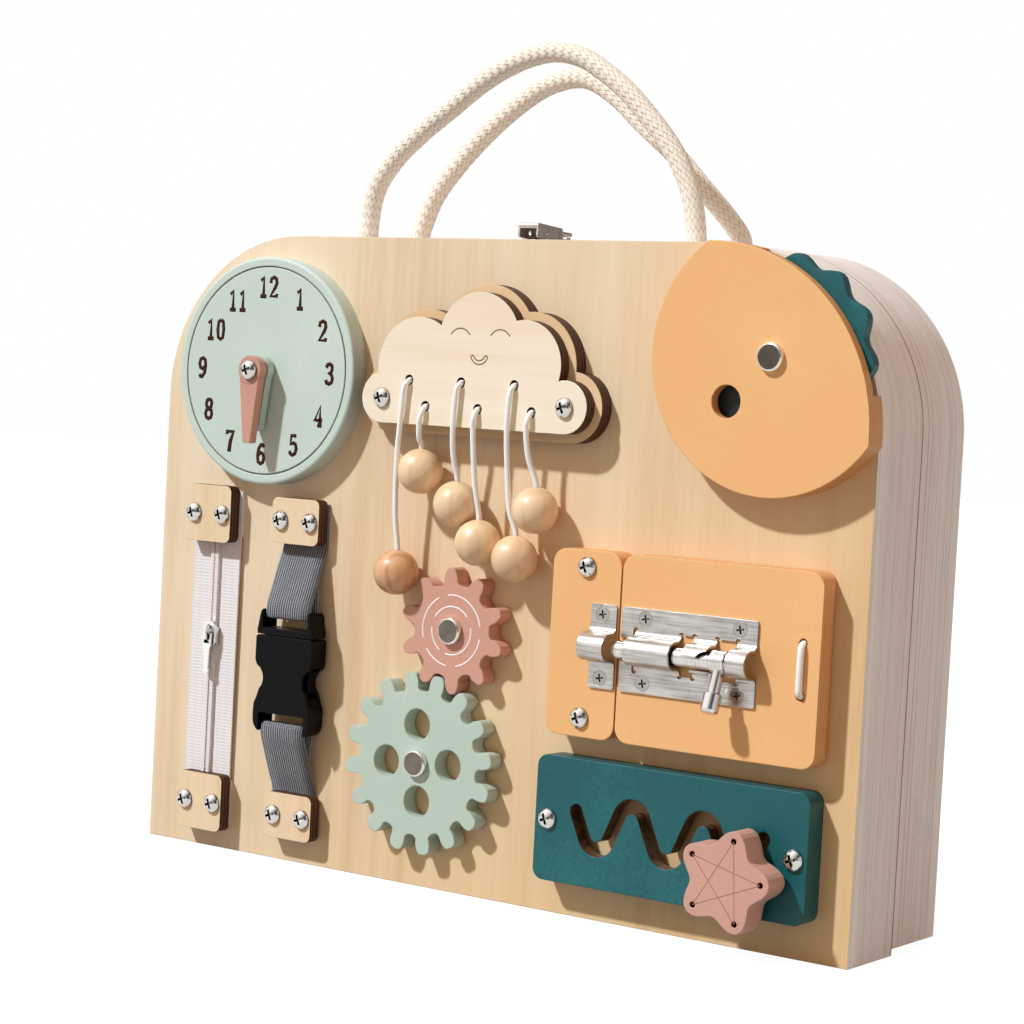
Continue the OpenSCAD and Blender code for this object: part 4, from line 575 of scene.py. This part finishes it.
def laser_cut(name, light, mid, dark, along, width):
    """Bare birch plywood with a clean face and edges burnt brown over pale and dark plies."""
    wood = Finish(name, roughness=0.55, specular_ior_level=0.3)
    grain, streak, _ = veneer(wood, light, mid, dark, along, width)
    scorch = wood.noise(300.0, 3.0)
    ply = (wood.axes(wood.place)[1] * (2 * math.pi / 0.0017) + scorch * 1.2).wave()
    char = wood.blend(ply.rise(-0.3, 0.6) * 0.6, ink(52, 28, 20), ink(108, 66, 43))
    side = abs(wood.axes(wood.facing)[1]).rise(0.85, 0.5)
    return wood.set(base_color=wood.blend(side, grain, char)).relief(streak, 0.00004, 0.0003)


def arc(x, y, z, radius, start, end, steps=12):
    """Points of an arc that faces the front, from one angle in degrees to another."""
    turns = (math.radians(start + (end - start) * k / steps) for k in range(steps + 1))
    return [(x + radius * math.cos(t), y, z + radius * math.sin(t)) for t in turns]


dress(laser_cut("laser_cut_birch", ink(250, 238, 217), ink(244, 227, 203), ink(230, 202, 167),
                (0.06, 1, 1), 60.0), "cloud_front")
dress(laser_cut("laser_cut_back", ink(242, 208, 166), ink(236, 198, 154), ink(222, 180, 134),
                (0.06, 1, 1), 60.0), "cloud_back")
mouth = (MOUTH_X, CLOUD, MOUTH_Z)
ends = arc(*mouth, MOUTH_R, 335, 205, 1)
smile = [arc(x, CLOUD, EYE_Z, EYE_R, 148, 32) for x in (-0.0068, 0.0100)]
smile.append(arc(*mouth, MOUTH_R + LIP, 205, 335) + arc(*ends[0], LIP, 335, 515)
             + arc(*mouth, MOUTH_R - LIP, 335, 205) + arc(*ends[1], LIP, 385, 565))
pen_line = Finish("brown_pen", roughness=0.7, specular_ior_level=0.2)
pen_line.set(base_color=pen_line.blend(pen_line.noise(1500.0), ink(112, 86, 52), ink(136, 108, 68)))
strokes("cloud_smile", smile, 0.0005, pen_line, "front_half")

# --- Balls on strings --------------------------------------------------------------------------
# Turned birch balls with a bore, in pairs: each pair hangs on one white cotton string that
# runs through the cloud, so that one ball climbs when the other is pulled.
# Millimetres to the right and up: the ball, the bends of its string, its hole in the cloud,
# and how far to the right the string crosses the cloud's lower edge.
HANGING = [((-30.8, 110.5), [(-31.5, 132), (-31.1, 150)], (-28, 178), -29.8),
           ((-22.4, 146.5), [(-21.9, 158)], (-20.4, 169.2), -21.5),
           ((-6.3, 136.2), [(-7, 153)], (-5.55, 178), -6.8),
           ((3.8, 123.6), [(2.4, 145)], (2.05, 169.2), 1.6),
           ((19.5, 119.4), [(17.2, 136), (16.2, 150)], (16.9, 178), 15.9),
           ((26.9, 136.3), [(24.6, 154)], (24.5, 169.2), 23.8)]
# Millimetres: how far the balls' middles are in front of the board, a ball's radius, how far
# the cloud's face is in front, and the height of its lower edge.
BALL_OUT, BALL_R, CLOUD_OUT, CLOUD_EDGE = 8.8, 7.95, 10.6, 162.6
STRING = 0.002                                   # diameter


def turned(name, pale, dark, contrast):
    """Turned birch with the fine curved lines of its year rings."""
    wood = Finish(name, roughness=0.38, specular_ior_level=0.45, coat_weight=0.15)
    lines = (wood.noise(60.0, 3.0, (1, 1, 0.16)) * 42.0).wave()
    speck = wood.noise(1200.0, 2.0, (1, 1, 0.2))
    tone = wood.blend(lines.rise(-0.4, 0.9) * contrast, pale, dark)
    tone = wood.blend(speck.rise(0.55, 0.75) * contrast * 0.5, tone, dark)
    return wood.set(base_color=tone).relief(speck, 0.00003)


dress(turned("turned_birch", ink(238, 203, 162), ink(218, 172, 126), 0.38),
      "ball_2", "ball_3", "ball_4", "ball_5", "ball_6")
dress(turned("turned_heartwood", ink(218, 166, 120), ink(184, 124, 78), 0.6), "ball_1")

string = Finish("braided_white_cotton", roughness=0.85, sheen_weight=0.2, specular_ior_level=0.2)
around, along, _ = string.axes(string.strip)
turns, climb = around * (8 * math.pi), along * 5200.0
ply = (turns + climb).wave().most((turns - climb).wave())
string.set(base_color=string.blend(ply.rise(-0.6, 0.6), ink(238, 234, 226), ink(251, 249, 246)))
string.relief(ply, 0.00003)
for n, ((x, z), way, (hx, hz), edge) in enumerate(HANGING, 1):
    lean_out = (CLOUD_OUT + 1.5 - BALL_OUT) / (CLOUD_EDGE - z)
    run = [(x, BALL_OUT, z - 7), (x, BALL_OUT, z + 2), (x, BALL_OUT, z + BALL_R + 1)]
    run += [(px, BALL_OUT + (pz - z) * lean_out, pz) for px, pz in way]
    run += [(edge, CLOUD_OUT + 1.6, CLOUD_EDGE + 0.6), ((hx + edge) / 2, CLOUD_OUT + 1.7, hz - 3.4),
            (hx, CLOUD_OUT + 1, hz - 0.9), (hx, CLOUD_OUT - 0.8, hz), (hx, 6.4, hz), (hx, 4.7, hz)]
    path = eased([(px / 1000, FACE - h / 1000, pz / 1000) for px, h, pz in run[::-1]], 0.0008)
    cord = tube("cloud_string_%d" % n, path, STRING / 2, 10, string, None)
    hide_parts("string_" + ("left", "middle", "right")[(n - 1) // 2])
    length_of(path)
    (z + BALL_R) / 1000
    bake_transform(cord)

# --- Picture wheel -----------------------------------------------------------------------------
# An orange cover and spacer hold a teal wheel with a scalloped rim, which a finger turns at
# the corner of the case. Steel rivets with flat caps are the axles of the wheel and the gears.
WINDOW_SHADOW = Vector((0.0993, 0, 0.1765))               # painted shadow on the wheel, behind the window
WINDOW_SHADOW_R = 0.0079
APRICOT_PLIES = (ink(208, 140, 82), ink(160, 98, 52))
TEAL, WORN_TEAL = ink(14, 82, 86), ink(32, 105, 106)
TEAL_PLIES = (ink(6, 58, 60), ink(40, 112, 110))
orange = stained("apricot_stain", ink(238, 180, 120), ink(242, 187, 128), 0.48, APRICOT_PLIES)
dress(orange, "wheel_cover", "wheel_spacer", "door_block", "door_panel")
teal = stained("dark_teal_stain", TEAL, WORN_TEAL, 0.5, TEAL_PLIES)
# Painted shadow: the wheel is coloured near black behind the cover's window, where it lies in shade.
window_shadow = reach(teal, WINDOW_SHADOW).rise(WINDOW_SHADOW_R, WINDOW_SHADOW_R - 0.0003)
teal.set(base_color=teal.blend(window_shadow, teal.colour(), ink(6, 16, 15)))
dress(teal, "scalloped_wheel")
rivet = Finish("polished_rivet", metallic=1.0)
haze = rivet.noise(180.0, 3.0)
# Painted highlight: faces that look straight out get a near-white base colour as if catching the
# light; the other faces keep the darker hazy tone.
flat = abs(rivet.axes(rivet.facing)[1]).rise(0.9, 0.985)
worn = rivet.blend(haze, ink(84, 76, 68), ink(128, 119, 110))
rivet.set(base_color=rivet.blend(flat, ink(236, 230, 222), worn), roughness=haze * 0.12 + 0.08)
rivet.relief(haze, 0.00002, 0.0006)
dress(rivet, "axle_rivets")

# --- Gears -------------------------------------------------------------------------------------
# A pink gear of ten teeth meshes with a mint one of sixteen. The pink one has two rings of
# white strokes printed round its axle; the mint one has four finger holes.
SMALL = Vector((-0.0068, FACE - 0.007, 0.0921))
RINGS = ((0.0124, ((12, 100), (118, 196), (214, 262), (282, 352))),
         (0.0084, ((40, 150), (175, 235), (255, 372))))
cog = stained("pink_gear_stain", ink(205, 152, 131), ink(214, 162, 141))
dress(cog, "small_gear")
dress(mint, "large_gear")
printed = Finish("white_print", roughness=0.6)
printed.set(base_color=printed.blend(printed.noise(900.0), ink(250, 240, 236), ink(240, 222, 215)))
marks = [arc(*SMALL, radius, start, end, 24) for radius, spans in RINGS for start, end in spans]
strokes("gear_rings", marks, 0.0007, printed, "small_gear")

# --- Door with its barrel bolt -----------------------------------------------------------------
# An orange door hangs on a white cord. A barrel bolt of pressed and brushed steel holds it:
# a plate with two barrels and a hook on the door, and a keeper on the fixed block.
CORD_X, CORD_Z = 0.1324, 0.09355
CORD_GAP = 0.0168                                # between the cord's two holes
CORD_OUT = 0.0102                                # from the board's face to the cord's front
CORD = 0.0022                                    # diameter
steel = Finish("brushed_steel_sheet", metallic=1.0)
lines = steel.noise(2200.0, 3.0, (0.03, 1, 1))
smear = steel.noise(120.0, 3.0)
steel.set(base_color=steel.blend((lines * 0.6 + smear * 0.4).rise(0.2, 0.8),
                                 ink(136, 130, 124), ink(216, 211, 205)))
steel.set(roughness=lines * 0.16 + 0.22).relief(lines, 0.00003, 0.0002)
dress(steel, "bolt_keeper", "bolt_plate")
rod = Finish("plated_rod", metallic=1.0)
lines = rod.noise(1600.0, 2.0, (1, 0.05, 0.05))
rod.set(base_color=rod.blend(lines, ink(176, 171, 166), ink(224, 220, 215)),
        roughness=lines * 0.1 + 0.1)
rod.relief(lines, 0.00002, 0.0003)
dress(rod, "bolt_rod", "bolt_knob")

leg = [(-0.005, -1), (0.003, -1), (0.0078, -1), (CORD_OUT - 0.0006, -0.93), (CORD_OUT, -0.75)]
run = leg + [(CORD_OUT + 0.0002, 0)] + [(h, -s) for h, s in leg[::-1]]
path = eased([(CORD_X, FACE - h, CORD_Z + s * CORD_GAP / 2) for h, s in run], 0.0007)
loop = tube("door_cord_loop", path, CORD / 2, 10, string, None)
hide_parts("door_cord")
length_of(path)
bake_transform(loop)

# --- Wave plate and star -----------------------------------------------------------------------
# A dark teal plate has a wavy slot for a fingertip's path. A thick pink star turns on a screw
# that slides in the slot, and five fine lines cross it from hole to hole.
WAVE = Vector((0.08615, 0, 0.0338))              # middle of the plate
SLOT_W, SLOT_H = 0.0495, 0.0185                  # half the width and height round the slot
STAR = Vector((0.11543, FACE - 0.0216, 0.02523))
TIP_R = 0.0137                                   # from the screw to a hole in the star
plate = stained("dark_teal_plate", TEAL, WORN_TEAL, 0.42, TEAL_PLIES)
px, _, pz = plate.axes(plate.place)
in_slot = (abs(px - WAVE.x).rise(SLOT_W, SLOT_W - 0.001)
           * abs(pz - WAVE.z).rise(SLOT_H, SLOT_H - 0.001))
in_slot = in_slot * abs(plate.axes(plate.facing)[1]).rise(0.75, 0.5)
bare = plate.blend(plate.noise(400.0, 3.0).rise(0.4, 0.6), ink(104, 72, 44), ink(66, 42, 28))
plate.set(base_color=plate.blend(in_slot, plate.colour(), bare))
dress(plate, "wave_plate")
blush = stained("pink_star_stain", ink(204, 153, 135), ink(212, 164, 145))
# Painted shade: the recesses that ambient occlusion finds, the holes among them, are coloured dark
# brown.
ao_unshaded = open_to(blush, 0.0022, 0.35, 0.7)
blush.set(base_color=blush.blend(ao_unshaded, ink(52, 28, 22), blush.colour()))
dress(blush, "star_knob")
tips = arc(*STAR, TIP_R, 76, 364, 4)
scored = Finish("scored_lines", roughness=0.7, specular_ior_level=0.2)
scored.set(base_color=scored.blend(scored.noise(1500.0), ink(140, 92, 74), ink(160, 112, 92)))
strokes("star_lines", [[tips[k], tips[(k + 2) % 5]] for k in range(5)], 0.00026, scored,
        "star", 0.00003)

# --- Zip ---------------------------------------------------------------------------------------
# A short zip: two white woven tapes with a nylon coil sewn to each inner edge, clamped under
# two small blocks of birch, and a metal slider whose pull hangs down.
ZIP_X = -0.121
RUNG, FILE = 0.0012, 0.0034                      # spacing of the weave, up and across the tapes
COIL_FOOT, COIL_OUT = 0.0292, 0.0026             # the lowest bead's height, and depth off the face
BEADS, PITCH, BEAD_R = 66, 0.00128, 0.00062      # of each coil
block = laser_cut("laser_cut_clamp", ink(242, 216, 184), ink(234, 204, 168), ink(216, 180, 138),
                  (1, 1, 0.06), 70.0)
dress(block, "zip_clamps", "strap_clamps")
tape = Finish("woven_white_tape", roughness=0.85, sheen_weight=0.15, specular_ior_level=0.2)
tx, _, tz = tape.axes(tape.place)
rungs = (tz * (2 * math.pi / RUNG)).wave()
files = (abs(tx - ZIP_X) * (2 * math.pi / FILE)).wave()
weave = rungs.rise(-0.1, 0.9) * files.rise(-0.2, 0.7)
tape.set(base_color=tape.blend(weave * 0.4, ink(234, 226, 225), ink(218, 202, 198)))
tape.relief(rungs * 0.6 + files * 0.6, 0.00004, 0.0002)
dress(tape, "zip_tapes")
nylon = Finish("zip_coil_nylon", roughness=0.4, specular_ior_level=0.4)
high = nylon.axes(nylon.place)[2].rise(0.083, 0.087)
nylon.set(base_color=nylon.blend(high + nylon.noise(800.0) * 0.1, ink(190, 178, 172),
                                 ink(244, 206, 180)))
teeth = bmesh.new()
for side in (-1, 1):
    slant = Matrix.Rotation(math.radians(side * 12), 3, "Y")
    for k in range(BEADS):
        z = COIL_FOOT + k * PITCH + (PITCH / 2 if side > 0 else 0)
        bead = bmesh.ops.create_icosphere(teeth, subdivisions=1, radius=BEAD_R)["verts"]
        bmesh.ops.scale(teeth, verts=bead, vec=(0.62, 0.5, 0.8))
        bmesh.ops.rotate(teeth, verts=bead, matrix=slant, cent=(0, 0, 0))
        bmesh.ops.translate(teeth, verts=bead, vec=(ZIP_X + side * 0.0002, FACE - COIL_OUT, z))
piece("zip_coil", teeth, nylon, "front_half")

# --- Strap and buckle --------------------------------------------------------------------------
# Dark grey ribbed webbing is clamped at both ends under birch blocks and loops round the bars
# of a black side-release buckle, moulded in acetal with sprung prongs.
STRAP_X, STRAP_W, WEB = -0.079, 0.020, 0.0012
RIBS, PICK = 19, 0.0009                          # ribs across the strap, and spacing along it
# Millimetres in front of the board, and up.
UPPER_ROUTE = [(0.6, 131.4), (0.6, 122), (0.7, 115.8), (3.9, 107), (6.8, 99), (8.5, 94.2),
               (8.7, 90.8), (8.1, 89.6), (6.4, 89.4), (4.8, 89.6), (4.1, 90.6), (4.1, 93.2),
               (4.6, 97.5), (5.1, 101.5)]
LOWER_ROUTE = [(0.6, 10.5), (0.6, 19), (0.7, 26.1), (3.9, 34), (6.8, 41.4), (8.5, 46),
               (8.7, 49.4), (8.1, 50.6), (6.4, 50.8), (4.8, 50.6), (4.1, 49.6), (4.1, 47),
               (4.6, 42.7), (5.1, 38.7)]
web = Finish("ribbed_webbing", roughness=0.75, sheen_weight=0.2, specular_ior_level=0.25)
wide, long, _ = web.axes(web.strip)
ribs = (wide * (2 * math.pi * RIBS)).wave()
picks = (long * (2 * math.pi / PICK)).wave()
glint = web.noise(1400.0, 2.0).rise(0.5, 0.75)
shade = ribs.rise(-0.5, 0.9) * (picks.rise(-0.8, 0.8) * 0.3 + 0.6) + glint * 0.2
web.set(base_color=web.blend(shade, ink(78, 78, 84), ink(178, 178, 184)))
web.relief(ribs * 0.8 + picks * 0.15, 0.00025)


def ribbon(name, route, finish, body):
    """Webbing along a side view, with a UV map across it (0 to 1) and along it in metres."""
    path = eased([(0, FACE - h / 1000, z / 1000) for h, z in route], 0.0007)
    mesh = bmesh.new()
    chart = mesh.loops.layers.uv.new("along")
    far, last = 0.0, None
    for i, point in enumerate(path):
        far += (point - path[i - 1]).length if i else 0.0
        row = [mesh.verts.new(point + Vector((STRAP_X + (k / 4 - 0.5) * STRAP_W, 0, 0)))
               for k in range(5)]
        if last:
            low, was = last
            for k in range(4):
                face = mesh.faces.new((low[k], low[k + 1], row[k + 1], row[k]))
                corners = ((k, was), (k + 1, was), (k + 1, far), (k, far))
                for loop, (u, v) in zip(face.loops, corners):
                    loop[chart].uv = (u / 4, v)
        last = (row, far)
    made = piece(name, mesh, finish, body)
    wall = made.modifiers.new("thickness", "SOLIDIFY")
    wall.thickness = WEB
    wall.offset = 0
    return made


upper = ribbon("webbing_upper", UPPER_ROUTE, web, "front_half")
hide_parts("strap_upper")
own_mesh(upper)
lower = ribbon("webbing_lower", LOWER_ROUTE, web, "front_half")
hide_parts("strap_lower")

acetal = Finish("black_acetal", specular_ior_level=0.09)
matt = acetal.noise(1500.0, 2.0)
acetal.set(base_color=acetal.blend(matt, ink(4, 4, 5), ink(9, 9, 10)), roughness=matt * 0.12 + 0.24)
acetal.relief(matt, 0.00003, 0.0008)
dress(acetal, "buckle_female", "buckle_male", "buckle_prong_left", "buckle_prong_right")
